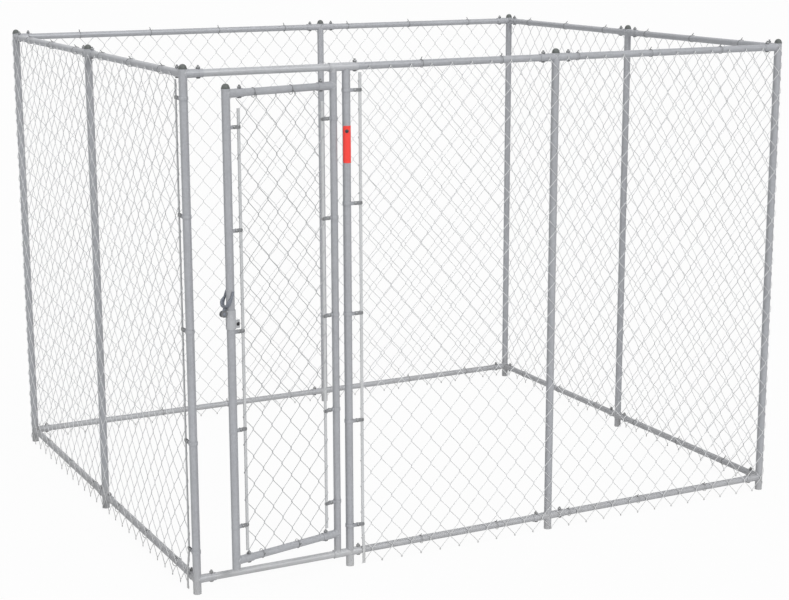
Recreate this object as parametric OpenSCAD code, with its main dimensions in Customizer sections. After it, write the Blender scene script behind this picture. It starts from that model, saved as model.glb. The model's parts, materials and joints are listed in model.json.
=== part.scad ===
// Outdoor dog kennel run: a bolted frame of galvanised tube hung with chain-link fabric, with a
// hinged gate and a fork latch. Millimetres. The front faces -Y and the ground is Z = 0. Walls are
// laid out from the front left post, and the origin is the bottom centre of the whole run.

/* [Run] */
// Height from the ground to the tops of the post caps
run_h = 1829; // [1500:1:2400]
// Length of a short bay, from post centre to post centre
short_bay = 1016; // [800:1:1400]
// Length of a long bay, from post centre to post centre
long_bay = 1429; // [1200:1:2000]

/* [Tubes] */
// Outside diameter of the posts
post_d = 28.6; // [26:0.1:36]
// Wall of the posts
post_wall = 1.5; // [1:0.1:2.5]
// Outside diameter of the rails
rail_d = 25.4; // [22:0.1:30]
// Wall of the rails
rail_wall = 1.3; // [1:0.1:2.5]
// Wall of the sockets that take the rails
socket_wall = 1.5; // [1:0.1:3]
// Reach of a socket from the centre of its post
socket_reach = 68; // [62:1:100]
// Radial clearance of a tube in its socket, and of a band on its post
slip = 0.3; // [0.2:0.05:0.5]
// Gap between the end of a rail and its post
rail_end_gap = 2; // [1:0.5:6]
// Height of the bottom rails above the ground
bottom_rail_z = 52; // [50:1:150]
// Drop of the top rails below the ends of the posts
top_rail_drop = 15; // [10:1:60]

/* [Post caps] */
// Height of a cap above its tube
cap_h = 17; // [10:0.5:30]
// Height of a cap's straight rim
cap_rim = 4; // [2:0.5:8]
// Overhang of a cap past its tube
cap_lip = 0.7; // [0.2:0.1:2]
// Depth of a cap's plug in its tube
cap_plug = 16; // [8:1:30]

/* [Gate] */
// Distance from the front left post to the gate post
gate_post_x = 588; // [520:1:800]
// Distance from the gate post back to the hinge line
hinge_offset = 49; // [46:1:70]
// Distance from the front left post to the latch stile when the gate is shut
latch_gap = 102; // [90:1:120]
// Angle that the gate stands open
gate_open = 12; // [0:1:40]
// Drop of the gate's top rail below the run's top rails
gate_drop = 62; // [50:1:120]
// Rise of the gate's bottom rail above the run's bottom rails
gate_rise = 79; // [60:1:160]
// Height of the latch stile above the gate's top rail
stile_head = 16; // [15:1:26]
// Length of the latch stile below the gate's bottom rail
stile_tail = 29; // [16:1:40]
// Outside diameter of the hinge stile
hinge_stile_d = 25.4; // [22:0.1:28]
// Wall of the hinge stile
hinge_stile_wall = 1.2; // [1:0.1:2.5]
// Length of the pins in the ends of the hinge stile and of the gate post
pin_len = 45; // [20:1:80]
// Radial clearance of the hinge pins
pin_play = 0.06; // [0.02:0.01:0.1]
// Height of the seat under each end of the hinge stile
hinge_seat = 3; // [1:0.5:8]
// Gap at each end of the hinge stile
stile_end_gap = 0.3; // [0.2:0.1:1]
// Length of the gate beam's sleeve before the hinge line
tee_lead = 15; // [13:1:30]
// Reach of the gate beam's sleeve past the gate post
tee_reach = 42; // [40:1:80]
// Distance from the gate post to the bolt in the gate beam's sleeve
tee_bolt = 33; // [30:1:34]

/* [Fabric] */
// Width of a diamond of the run's fabric
diamond_w = 80.5; // [60:0.5:110]
// Height of a diamond
diamond_h = 97; // [80:0.5:120]
// Width of a diamond of the gate's fabric
gate_diamond_w = 76; // [60:0.5:90]
// Thickness of the wire
wire_d = 2.3; // [1.6:0.1:4]
// Gap between the two layers of wire
layer_gap = 0.1; // [0.05:0.05:0.3]
// Wires of the run's fabric that one strand stands for
wires_per_strand = 2; // [1:1:4]
// Length of the fabric below the bottom rails
fabric_tail = 46; // [20:1:48]

/* [Ties] */
// Thickness of a tie wire
tie_d = 2; // [1.5:0.1:3]
// Distance from the start of a wall to its first tie
tie_first = 232; // [150:1:300]
// Distance from the hinge line to the first tie of the gate
gate_tie_first = 178; // [100:1:200]
// Ties are set this many strands apart
tie_every = 2; // [1:1:4]
// Least distance from a tie to the end of a socket
tie_clear = 10; // [4:1:40]

/* [Tension bars and bands] */
// Width of a tension bar
bar_w = 10.5; // [8:0.5:16]
// Thickness of a tension bar
bar_t = 3.5; // [2.5:0.5:5]
// Distance from a post to its tension bar
bar_reach = 48; // [46:0.5:54]
// Distance of the run's tension bars outside the middle of their posts, between the rails
bar_depth = 9; // [4:0.5:11]
// Drop of the gate's tension bars below its top rail
gate_bar_drop = 50; // [16:1:100]
// Gap between the end of a tension bar and the rail bolts above or below it
bar_gap = 2; // [1:0.5:30]
// Height of a band
band_h = 12; // [12:1:30]
// Thickness of a band
band_t = 1.6; // [1:0.1:2.5]
// Bands on each post and stile
band_count = 5; // [3:1:7]
// Height of the lowest band above the bottom rail
band_low = 101; // [60:1:150]
// Drop of the highest band below the top rail
band_high = 80; // [60:1:150]
// Height of the gate's lowest band above its bottom rail
gate_band_low = 121; // [60:1:150]
// Drop of the gate's highest band below its top rail
gate_band_high = 111; // [60:1:150]
// Distance from a post to the bolt of its band
band_bolt_reach = 29; // [26:0.5:33]

/* [Bolts] */
// Diameter of the rail bolts
bolt_d = 7.9; // [6:0.1:9]
// Width of a rail bolt's head
bolt_head_d = 16; // [13:0.5:20]
// Height of a rail bolt's head
bolt_head_h = 4; // [2:0.5:6]
// Width of a rail nut across its flats
nut_w = 12.7; // [11:0.1:15]
// Height of a rail nut
nut_h = 6.8; // [4:0.1:9]
// Length of thread past a nut
bolt_tail = 5; // [1:0.5:10]
// Distance from a post to its rail bolts
bolt_reach = 53; // [46:1:54]
// Diameter of the small bolts of the bands and the latch
small_bolt_d = 6.3; // [5:0.1:7]
// Width of a small bolt's head
small_head_d = 13; // [10:0.5:15]
// Height of a small bolt's head
small_head_h = 3.5; // [2:0.5:5]
// Width of a small nut across its flats
small_nut_w = 11.1; // [9:0.1:12]
// Height of a small nut
small_nut_h = 5.5; // [3:0.1:7]
// Length of thread past a small nut
small_tail = 2.5; // [1:0.5:6]
// Radial clearance of a bolt in its hole
bolt_play = 0.4; // [0.2:0.05:0.8]
// Radial clearance of a bolt in its nut
thread_play = 0.05; // [0.03:0.01:0.1]
// Gap under a head or a nut
seat_gap = 0.1; // [0.05:0.05:0.3]

/* [Latch] */
// Height of the latch pivot above the ground
latch_z = 1006; // [800:1:1100]
// Distance from the latch stile to the pivot
pivot_reach = 30; // [29.5:0.5:34]
// Angle that the fork is raised from level
fork_up = 110; // [92:1:111]
// Half the gap between the prongs
fork_gap = 17; // [16.5:0.5:20]
// Thickness of a prong
prong_w = 7; // [3:0.5:8]
// Height of the fork's strap at its bend
prong_h = 15; // [11:0.5:16]
// Height of a prong at its tip
tip_h = 7; // [4:0.5:10]
// Height of the strap's top edge above the pivot
prong_top = 5; // [3:0.5:5.5]
// Length of the prongs past the middle of the corner post
prong_over = 10; // [8:1:30]
// Thickness of the fork's stem
stem_w = 8; // [5:0.5:10]
// Height of the fork's stem
stem_h = 10; // [8:0.5:11]
// Distance from the pivot to the middle of the fork's bend
bend_reach = 44; // [42:0.5:46]
// Radius of the fork's eye and of the collar's ears
eye_r = 11; // [8:0.5:12]
// Radial clearance of the fork on its pivot
pivot_play = 0.06; // [0.02:0.01:0.1]
// Height of the collar
collar_h = 66; // [50:1:90]
// Wall of the collar
collar_t = 2.5; // [1.5:0.1:3]
// Half the gap between the halves of the collar
collar_split = 0.5; // [0.3:0.1:1]
// Reach of the collar's bolted flanges from the stile
flange_reach = 34; // [33:0.5:38]
// Height of the flanges
flange_h = 28; // [16:1:40]
// Distance from the stile to the collar's bolt
flange_bolt_reach = 26; // [25.5:0.5:27]
// Drop of the latch stile's middle band below the collar
latch_band_gap = 2; // [1:0.5:10]

/* [Tag] */
// Height of the tag on the gate post
tag_h = 128; // [60:1:180]
// Drop of the tag below the top rails
tag_drop = 201; // [150:1:300]
// Thickness of the tag
tag_t = 0.8; // [0.5:0.1:2]
// Gap under the tag
tag_gap = 0.1; // [0.05:0.05:0.3]
// Setback of the tag's edges from the middle of the post
tag_edge = 3; // [0:0.5:8]

/* [Hidden] */
$fn = 48;
galvanised = "#a4a7ab";
welded_zinc = "#b4b7bb";
bright_zinc = "#c9cbce";
fabric_grey = "#d6d7d9";
dark_zinc = "#6f7276";
cap_grey = "#4d5155";
tag_red = "#e0352b";

over = 1;
run_w = long_bay + short_bay;
run_d = 2 * short_bay;
post_h = run_h - cap_h;
top_rail_z = post_h - top_rail_drop;
rail_levels = [bottom_rail_z, top_rail_z];
rail_climb = top_rail_z - bottom_rail_z;
post_bore = post_d - 2 * post_wall;
rail_bore = rail_d - 2 * rail_wall;
socket_bore = rail_d + 2 * slip;
socket_d = socket_bore + 2 * socket_wall;
post_end = post_d / 2 + rail_end_gap;

hinge_x = gate_post_x - hinge_offset;
gate_w = hinge_x - latch_gap;
gate_top_z = top_rail_z - gate_drop;
gate_bottom_z = bottom_rail_z + gate_rise;
gate_levels = [gate_bottom_z, gate_top_z];
gate_climb = gate_top_z - gate_bottom_z;
hinge_end = hinge_stile_d / 2 + rail_end_gap;
hinge_bore = hinge_stile_d - 2 * hinge_stile_wall;
pin_d = hinge_bore - 2 * pin_play;
spigot_d = post_bore - 2 * slip;
seat_z = socket_d / 2 + hinge_seat;

net_in = max(socket_d, post_d) / 2 + slip;
net_t = 2 * wire_d + layer_gap;
net_out = net_in + net_t;
bar_side = bar_reach + bar_w / 2 + slip;
strand_pitch = diamond_w * wires_per_strand;
strand_rows = round(rail_climb / (diamond_h * wires_per_strand / 2));
strand_row = rail_climb / strand_rows;
gate_edge = rail_d / 2 + slip + wire_d / 2;
gate_net_h = gate_climb - 2 * gate_edge;
gate_rows = round(gate_net_h / (diamond_h / 2));
gate_row = gate_net_h / gate_rows;
gate_slope = gate_diamond_w / 2 / gate_row;
tie_in = rail_d / 2 + slip;
tie_shift = net_out + slip - tie_in;
tie_out = net_out + slip + tie_d;
gate_tie_bite = (wire_d / 2 * norm([1, gate_slope]) + tie_d / 2 + slip) / gate_slope;
gate_tie_shift = gate_edge + gate_tie_bite - tie_in;
tie_step = strand_pitch * tie_every;
gate_tie_step = gate_diamond_w * tie_every;

bolt_top = socket_d / 2 + seat_gap;
bolt_len = 2 * bolt_top + nut_h + bolt_tail;
ear_y = bar_t / 2 + slip;
band_y = ear_y + band_t;
band_seat = band_y + seat_gap;

fork_out = fork_gap + prong_w;
fork_len = latch_gap - pivot_reach + prong_over;
ear_in = stem_w / 2 + slip;
ear_out = ear_in + collar_t;
collar_in = post_d / 2 + slip;
collar_z = latch_z + eye_r - collar_h;
flange_out = collar_split + collar_t;
latch_band_z = collar_z - latch_band_gap - band_h / 2;

corner_arms = [[0, 90], [180, 90], [180, 270], [0, 270]];
corner_spots = [[0, 0], [run_w, 0], [run_w, run_d], [0, run_d]];
mid_arms = [[0, 180], [90, 270], [0, 180], [90, 270]];
mid_spots = [[long_bay, 0], [run_w, short_bay], [long_bay, run_d], [0, short_bay]];
post_spots = concat(corner_spots, mid_spots);
post_arms = concat(corner_arms, mid_arms);

// Each wall: its first post, the way it runs, its posts, and where its fabric starts and ends
front_wall = [[0, 0], 0, [0, gate_post_x, long_bay, run_w], gate_post_x + bar_side, run_w + net_out];
right_wall = [[run_w, 0], 90, [0, short_bay, run_d], slip - net_in, run_d + net_in - slip];
back_wall = [[run_w, run_d], 180, [0, short_bay, run_w], -net_out, run_w + net_out];
left_wall = [[0, run_d], 270, [0, short_bay, run_d], slip - net_in, run_d - bar_side];

fork_edge = -bend_reach * cos(fork_up) - (prong_h - prong_top) * sin(fork_up);
fork_side = fork_out * norm([cos(gate_open), cos(fork_up) * sin(gate_open)]);
front_reach = (gate_w + pivot_reach - fork_edge) * sin(gate_open) + fork_side;
centre_x = run_w / 2;
centre_y = (run_d + tie_out - front_reach) / 2;

// Moves the layout from the front left post to the run's own origin
module placed() {
  translate([-centre_x, -centre_y, 0])
    children();
}

// Lays a wall out along X from its first post, with the outside towards -Y
module on_wall(wall) {
  translate(concat(wall[0], 0))
    rotate([0, 0, wall[1]])
      children();
}

// Hangs the gate on its hinge line, with the latch towards -X and the outside towards -Y
module on_gate() {
  translate([hinge_x, 0, 0])
    rotate([0, 0, gate_open])
      children();
}

// Turns a shape drawn along Z to lie along X
module along_x() {
  rotate([0, 90, 0])
    children();
}

// Turns a shape drawn along Z to point inwards along Y
module along_y() {
  rotate([-90, 0, 0])
    children();
}

// Carries each child to the joints of every post with its rails
module at_post_joints() {
  for (i = [0 : len(post_spots) - 1], a = post_arms[i], z = rail_levels)
    translate(concat(post_spots[i], z))
      rotate([0, 0, a])
        translate([bolt_reach, 0, 0])
          children();
  for (z = rail_levels)
    translate([gate_post_x + tee_bolt, 0, z])
      children();
}

module at_gate_joints() {
  for (x = [-bolt_reach, bolt_reach - gate_w], z = gate_levels)
    translate([x, 0, z])
      children();
}

// Turns a bar or a band of the corner post towards the left wall
module at_side_bar() {
  on_wall(left_wall)
    translate([run_d, 0, 0])
      mirror([1, 0, 0])
        children();
}

// Carries each child to the bands of the corner post and the gate post
module at_frame_bands() {
  step = (rail_climb - band_low - band_high) / (band_count - 1);
  for (i = [0 : band_count - 1]) {
    z = bottom_rail_z + band_low + i * step;
    translate([gate_post_x, 0, z])
      children();
    at_side_bar()
      translate([0, 0, z])
        children();
  }
}

function gate_band_z(i) =
  gate_bottom_z + gate_band_low + i * (gate_climb - gate_band_low - gate_band_high) / (band_count - 1);
function latch_band_height(i) =
  let (z = gate_band_z(i))
  abs(z - collar_z - collar_h / 2) < (collar_h + band_h) / 2 + latch_band_gap ? latch_band_z : z;

module at_hinge_bands() {
  for (i = [0 : band_count - 1])
    translate([0, 0, gate_band_z(i)])
      mirror([1, 0, 0])
        children();
}

module at_latch_bands() {
  for (i = [0 : band_count - 1])
    translate([-gate_w, 0, latch_band_height(i)])
      children();
}

// A post with a pair of welded sockets on each of its arms
module post(spot, arms) {
  translate(concat(spot, 0))
    difference() {
      union() {
        cylinder(d = post_d, h = post_h);
        for (a = arms, z = rail_levels)
          translate([0, 0, z])
            rotate([0, 0, a])
              along_x() cylinder(d = socket_d, h = socket_reach);
      }
      translate([0, 0, -over])
        cylinder(d = post_bore, h = post_h + 2 * over);
      for (a = arms, z = rail_levels)
        translate([0, 0, z])
          rotate([0, 0, a]) {
            translate([post_d / 2, 0, 0])
              along_x() cylinder(d = socket_bore, h = socket_reach);
            translate([bolt_reach, 0, 0])
              cylinder(d = bolt_d + 2 * bolt_play, h = 2 * socket_d, center = true);
          }
    }
}

// A rail between two posts, cut short by the two ends and drilled for its two bolts
module rail(span, end_a, end_b, bolt_a, bolt_b) {
  difference() {
    translate([end_a, 0, 0])
      along_x() cylinder(d = rail_d, h = span - end_a - end_b);
    along_x() cylinder(d = rail_bore, h = span);
    for (x = [bolt_a, span - bolt_b])
      translate([x, 0, 0])
        cylinder(d = bolt_d + 2 * bolt_play, h = 2 * rail_d, center = true);
  }
}

module wall_rail(wall, bay, z) {
  from = wall[2][bay];
  first_bolt = from == gate_post_x ? tee_bolt : bolt_reach;
  color(galvanised)
    on_wall(wall)
      translate([from, 0, z])
        rail(wall[2][bay + 1] - from, post_end, post_end, first_bolt, bolt_reach);
}

// The beam over or under the gate: a rail welded into a sleeve that carries the hinge pin and the
// spigot of the gate post, both pointing along +Z, and takes the next rail in its open end
module gate_beam() {
  difference() {
    union() {
      translate([post_end, 0, 0])
        along_x() cylinder(d = rail_d, h = hinge_x - post_end);
      translate([hinge_x - tee_lead, 0, 0])
        along_x() cylinder(d = socket_d, h = tee_lead + hinge_offset + tee_reach);
      translate([hinge_x, 0, 0]) {
        cylinder(d = hinge_stile_d, h = seat_z);
        cylinder(d = pin_d, h = seat_z + pin_len);
      }
      translate([gate_post_x, 0, 0])
        cylinder(d = spigot_d, h = seat_z + pin_len);
    }
    along_x() cylinder(d = rail_bore, h = gate_post_x + tee_reach + over);
    translate([gate_post_x + post_d / 2, 0, 0])
      along_x() cylinder(d = socket_bore, h = tee_reach);
    for (x = [bolt_reach, gate_post_x + tee_bolt])
      translate([x, 0, 0])
        cylinder(d = bolt_d + 2 * bolt_play, h = 2 * socket_d, center = true);
  }
}

module gate_header() {
  color(welded_zinc)
    translate([0, 0, top_rail_z])
      mirror([0, 0, 1])
        gate_beam();
}

module gate_sill() {
  leg_h = bottom_rail_z - socket_d / 2;
  color(welded_zinc) {
    translate([0, 0, bottom_rail_z])
      gate_beam();
    translate([gate_post_x, 0, 0])
      difference() {
        cylinder(d = post_d, h = bottom_rail_z);
        translate([0, 0, -over])
          cylinder(d = post_bore, h = leg_h + over);
        translate([-post_d, 0, bottom_rail_z])
          along_x() cylinder(d = rail_d, h = 2 * post_d);
      }
  }
}

// The gate post is notched at both ends to sit on the sleeves of the gate beams
module gate_post() {
  color(galvanised)
    translate([gate_post_x, 0, bottom_rail_z])
      difference() {
        cylinder(d = post_d, h = rail_climb);
        translate([0, 0, -over])
          cylinder(d = post_bore, h = rail_climb + 2 * over);
        for (z = [0, rail_climb])
          translate([-post_d, 0, z])
            along_x() cylinder(d = socket_d + 2 * slip, h = 2 * post_d);
      }
}

module corner_post(i) {
  color(galvanised)
    post(corner_spots[i], corner_arms[i]);
}

module mid_post(i) {
  color(galvanised)
    post(mid_spots[i], mid_arms[i]);
}

// A domed cap with a plug, seated at Z = 0 on the end of a post
module cap() {
  r = post_d / 2 + cap_lip;
  dome_h = cap_h - cap_rim;
  dome_r = (r * r + dome_h * dome_h) / (2 * dome_h);
  translate([0, 0, -cap_plug])
    cylinder(d = post_bore - 2 * slip, h = cap_plug);
  cylinder(r = r, h = cap_rim);
  translate([0, 0, cap_rim])
    rotate_extrude()
      intersection() {
        translate([0, dome_h - dome_r])
          circle(dome_r);
        square([r, dome_h]);
      }
}

module post_caps() {
  color(cap_grey)
    for (p = post_spots)
      translate(concat(p, post_h))
        cap();
}

// A round-headed bolt along +Z, with the underside of its head at Z = 0
module bolt(d, head_d, head_h, length) {
  head_r = (head_d * head_d / 4 + head_h * head_h) / (2 * head_h);
  cylinder(d = d, h = length);
  mirror([0, 0, 1])
    rotate_extrude()
      intersection() {
        translate([0, head_h - head_r])
          circle(head_r);
        square([head_d / 2, head_h]);
      }
}

module nut(d, width, height) {
  difference() {
    cylinder(d = width / cos(30), h = height, $fn = 6);
    translate([0, 0, -over])
      cylinder(d = d + 2 * thread_play, h = height + 2 * over);
  }
}

module rail_bolt() {
  translate([0, 0, -bolt_top])
    bolt(bolt_d, bolt_head_d, bolt_head_h, bolt_len);
}

module rail_nut() {
  translate([0, 0, bolt_top])
    nut(bolt_d, nut_w, nut_h);
}

// A small bolt through a grip along +Y, with its head outside
module small_bolt(y, grip) {
  translate([0, y, 0])
    along_y() bolt(small_bolt_d, small_head_d, small_head_h, grip + small_nut_h + small_tail);
}

module small_nut(y) {
  translate([0, y, 0])
    along_y() nut(small_bolt_d, small_nut_w, small_nut_h);
}

module frame_bolts() {
  color(dark_zinc)
    at_post_joints() rail_bolt();
}

module frame_nuts() {
  color(dark_zinc) {
    at_post_joints() rail_nut();
    at_frame_bands() band_nut(bar_depth);
  }
}

// One wire of a net, running from height low to height high through s at the height top
module strand(s, rise, low, high, top, lean, y) {
  translate([s + rise * (low - top), y, low])
    rotate([0, lean, 0])
      translate([-wire_d / 2, 0, 0])
        cube([wire_d, wire_d, (high - low) / cos(lean)]);
}

// A flat net from s_a to s_b, of straight strands in two layers that lean opposite ways, with its outside
// at y. The layers meet at s = first at the height top, and at every row below it.
module net(s_a, s_b, first, pitch, row, top, bottom, y) {
  rise = pitch / 2 / row;
  lean = atan(rise);
  a = s_a + wire_d;
  b = s_b - wire_d;
  sweep = (top - bottom) * rise;
  for (i = [ceil((a - first) / pitch) : floor((b + sweep - first) / pitch)]) {
    s = first + i * pitch;
    low = max(bottom, top + (a - s) / rise);
    high = min(top, top + (b - s) / rise);
    if (high - low > row)
      strand(s, rise, low, high, top, lean, y);
  }
  for (i = [ceil((a - sweep - first) / pitch) : floor((b - first) / pitch)]) {
    s = first + i * pitch;
    low = max(bottom, top + (s - b) / rise);
    high = min(top, top + (s - a) / rise);
    if (high - low > row)
      strand(s, -rise, low, high, top, -lean, y + wire_d + layer_gap);
  }
}

module wall_fabric(wall) {
  color(fabric_grey)
    on_wall(wall)
      net(wall[3], wall[4], tie_first, strand_pitch, strand_row,
          top_rail_z, bottom_rail_z - fabric_tail, -net_out);
}

module gate_fabric() {
  color(fabric_grey)
    on_gate()
      net(bar_side - gate_w, -bar_side, -gate_tie_first, gate_diamond_w, gate_row,
          gate_top_z - gate_edge, gate_bottom_z + gate_edge, -net_t / 2);
}

module stadium(r, shift) {
  circle(r);
  translate([-shift, 0])
    circle(r);
  translate([-shift, -r])
    square([shift, 2 * r]);
}

// A wire tie around a rail and the crossing of two strands, which lies outside the rail or, turned, under it
module tie(shift, turn = 0) {
  translate([-tie_d / 2, 0, 0])
    rotate([90, 0, 90])
      linear_extrude(tie_d)
        rotate(turn)
          difference() {
            stadium(tie_in + tie_d, shift);
            stadium(tie_in, shift);
          }
}

function is_clear(s, posts) = min([for (p = posts) abs(s - p)]) > socket_reach + tie_clear;

module frame_ties() {
  half_shift = strand_rows % 2 * strand_pitch / 2;
  color(bright_zinc)
    for (wall = [front_wall, right_wall, back_wall, left_wall], level = [0, 1]) {
      start = tie_first + (1 - level) * half_shift;
      for (s = [start : tie_step : wall[4]])
        if (s > wall[3] && is_clear(s, wall[2]))
          on_wall(wall)
            translate([s, 0, rail_levels[level]])
              tie(tie_shift);
    }
}

module gate_ties() {
  half_shift = gate_rows % 2 * gate_diamond_w / 2;
  color(bright_zinc)
    on_gate()
      for (level = [0, 1]) {
        start = gate_tie_first - (1 - level) * half_shift;
        for (s = [start : gate_tie_step : gate_w])
          if (is_clear(s, [0, gate_w]))
            translate([-s, 0, gate_levels[level]])
              tie(gate_tie_shift, level * 180 - 90);
      }
}

// A tension bar of the run, which ends outside the bottom rail and is drawn in above it by its bands
module run_bar() {
  foot_y = -net_in - bar_t / 2;
  path = [
    [foot_y, bottom_rail_z - fabric_tail],
    [foot_y, bottom_rail_z + socket_d / 2],
    [-bar_depth, bottom_rail_z + band_low - band_h],
    [-bar_depth, top_rail_z - bolt_top - bolt_head_h - bar_gap]
  ];
  outside = [for (p = path) p - [bar_t / 2, 0]];
  inside = [for (i = [len(path) - 1 : -1 : 0]) path[i] + [bar_t / 2, 0]];
  color(bright_zinc)
    translate([bar_reach - bar_w / 2, 0, 0])
      rotate([90, 0, 90])
        linear_extrude(bar_w)
          polygon(concat(outside, inside));
}

module front_tension_bar() {
  translate([gate_post_x, 0, 0])
    run_bar();
}

module side_tension_bar() {
  at_side_bar() run_bar();
}

// A tension bar of the gate, in the middle of its stile
module gate_bar() {
  low = gate_bottom_z + bolt_len - bolt_top + bar_gap;
  color(bright_zinc)
    translate([bar_reach - bar_w / 2, -bar_t / 2, low])
      cube([bar_w, bar_t, gate_top_z - gate_bar_drop - low]);
}

module hinge_side_bar() {
  on_gate()
    mirror([1, 0, 0])
      gate_bar();
}

module latch_side_bar() {
  on_gate()
    translate([-gate_w, 0, 0])
      gate_bar();
}

// A strap around a tube of the given diameter, whose two ears hold the tension bar and its bolt
module band(d, depth) {
  r = d / 2 + slip;
  difference() {
    translate([0, 0, -band_h / 2])
      linear_extrude(band_h)
        difference() {
          union() {
            circle(r + band_t);
            for (y = [-band_y, ear_y])
              translate([0, y - depth])
                square([bar_side, band_t]);
          }
          circle(r);
        }
    translate([band_bolt_reach, 0, 0])
      along_y() cylinder(d = small_bolt_d + 2 * bolt_play, h = 4 * net_out, center = true);
  }
}

module band_bolt(depth) {
  translate([band_bolt_reach, -depth, 0])
    small_bolt(-band_seat, 2 * band_seat);
}

module band_nut(depth) {
  translate([band_bolt_reach, -depth, 0])
    small_nut(band_seat);
}

module frame_bands() {
  color(dark_zinc)
    at_frame_bands() band(post_d, bar_depth);
}

module frame_band_bolts() {
  color(dark_zinc)
    at_frame_bands() band_bolt(bar_depth);
}

module gate_bands() {
  color(dark_zinc)
    on_gate() {
      at_hinge_bands() band(hinge_stile_d, 0);
      at_latch_bands() band(post_d, 0);
    }
}

module gate_band_bolts() {
  color(dark_zinc)
    on_gate() {
      at_hinge_bands() band_bolt(0);
      at_latch_bands() band_bolt(0);
    }
}

// A thin plain tag wrapped around the front of the gate post
module post_tag() {
  r = post_d / 2 + tag_gap;
  color(tag_red)
    translate([gate_post_x, 0, top_rail_z - tag_drop - tag_h])
      difference() {
        cylinder(r = r + tag_t, h = tag_h);
        translate([0, 0, -over])
          cylinder(r = r, h = tag_h + 2 * over);
        translate([-post_d, -tag_edge, -over])
          cube([2 * post_d, 2 * post_d, tag_h + 2 * over]);
      }
}

// An upright of the gate with a welded socket for each of the gate's rails
module stile(d, bore, low, high) {
  difference() {
    union() {
      translate([0, 0, low])
        cylinder(d = d, h = high - low);
      for (z = gate_levels)
        translate([0, 0, z])
          along_x() cylinder(d = socket_d, h = socket_reach);
    }
    translate([0, 0, low - over])
      cylinder(d = bore, h = high - low + 2 * over);
    for (z = gate_levels)
      translate([0, 0, z]) {
        translate([d / 2, 0, 0])
          along_x() cylinder(d = socket_bore, h = socket_reach);
        translate([bolt_reach, 0, 0])
          cylinder(d = bolt_d + 2 * bolt_play, h = 2 * socket_d, center = true);
      }
  }
}

module hinge_stile() {
  color(galvanised)
    on_gate()
      mirror([1, 0, 0])
        stile(hinge_stile_d, hinge_bore, bottom_rail_z + seat_z + stile_end_gap,
              top_rail_z - seat_z - stile_end_gap);
}

module latch_stile() {
  color(galvanised)
    on_gate()
      translate([-gate_w, 0, 0])
        stile(post_d, post_bore, gate_bottom_z - stile_tail, gate_top_z + stile_head);
}

module gate_rail(z) {
  color(galvanised)
    on_gate()
      translate([-gate_w, 0, z])
        rail(gate_w, post_end, hinge_end, bolt_reach, bolt_reach);
}

module gate_cap() {
  color(cap_grey)
    on_gate()
      translate([-gate_w, 0, gate_top_z + stile_head])
        cap();
}

module gate_bolts() {
  color(dark_zinc)
    on_gate()
      at_gate_joints() rail_bolt();
}

module at_flange_bolt() {
  translate([flange_bolt_reach - gate_w, 0, collar_z + flange_h / 2])
    children();
}

module at_pivot() {
  translate([-gate_w - pivot_reach, 0, latch_z])
    children();
}

module gate_nuts() {
  color(dark_zinc)
    on_gate() {
      at_gate_joints() rail_nut();
      at_hinge_bands() band_nut(0);
      at_latch_bands() band_nut(0);
      at_flange_bolt() small_nut(flange_out + seat_gap);
      at_pivot() small_nut(ear_out + seat_gap);
    }
}

// The outer half of the latch collar, with its bolted flange and its ear for the fork
module collar_half() {
  hole_h = 4 * post_d;
  difference() {
    union() {
      translate([-gate_w, 0, collar_z])
        intersection() {
          cylinder(r = collar_in + collar_t, h = collar_h);
          translate([-post_d, -post_d - collar_split, 0])
            cube([2 * post_d, post_d, collar_h]);
        }
      translate([-gate_w + collar_in, -flange_out, collar_z])
        cube([flange_reach - collar_in, collar_t, flange_h]);
      translate([-gate_w - pivot_reach, -ear_out, latch_z - eye_r])
        cube([pivot_reach, collar_t, 2 * eye_r]);
      at_pivot()
        translate([0, -ear_out, 0])
          along_y() cylinder(r = eye_r, h = collar_t);
    }
    translate([-gate_w, 0, collar_z - over])
      cylinder(r = collar_in, h = collar_h + 2 * over);
    at_flange_bolt()
      along_y() cylinder(d = small_bolt_d + 2 * bolt_play, h = hole_h, center = true);
    at_pivot()
      along_y() cylinder(d = small_bolt_d + 2 * bolt_play, h = hole_h, center = true);
  }
}

module latch_collar_outer() {
  color(welded_zinc)
    on_gate()
      collar_half();
}

module latch_collar_inner() {
  color(welded_zinc)
    on_gate()
      mirror([0, 1, 0])
        collar_half();
}

module collar_bolt() {
  color(cap_grey)
    on_gate()
      at_flange_bolt()
        small_bolt(-flange_out - seat_gap, 2 * (flange_out + seat_gap));
}

module latch_pivot() {
  color(dark_zinc)
    on_gate()
      at_pivot()
        small_bolt(-ear_out - seat_gap, 2 * (ear_out + seat_gap));
}

module fork_outline(r) {
  translate([-bend_reach, 0])
    circle(r);
  translate([-fork_len, -r])
    square([fork_len - bend_reach, 2 * r]);
}

// The side of the fork's strap, which narrows from the bend to the tips of the prongs
module strap_side() {
  low = prong_top - prong_h;
  tip_low = prong_top - tip_h;
  polygon([
    [0, low], [-bend_reach, low], [-bend_reach - prong_h, tip_low],
    [-fork_len, tip_low], [-fork_len, prong_top], [0, prong_top]
  ]);
}

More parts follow.
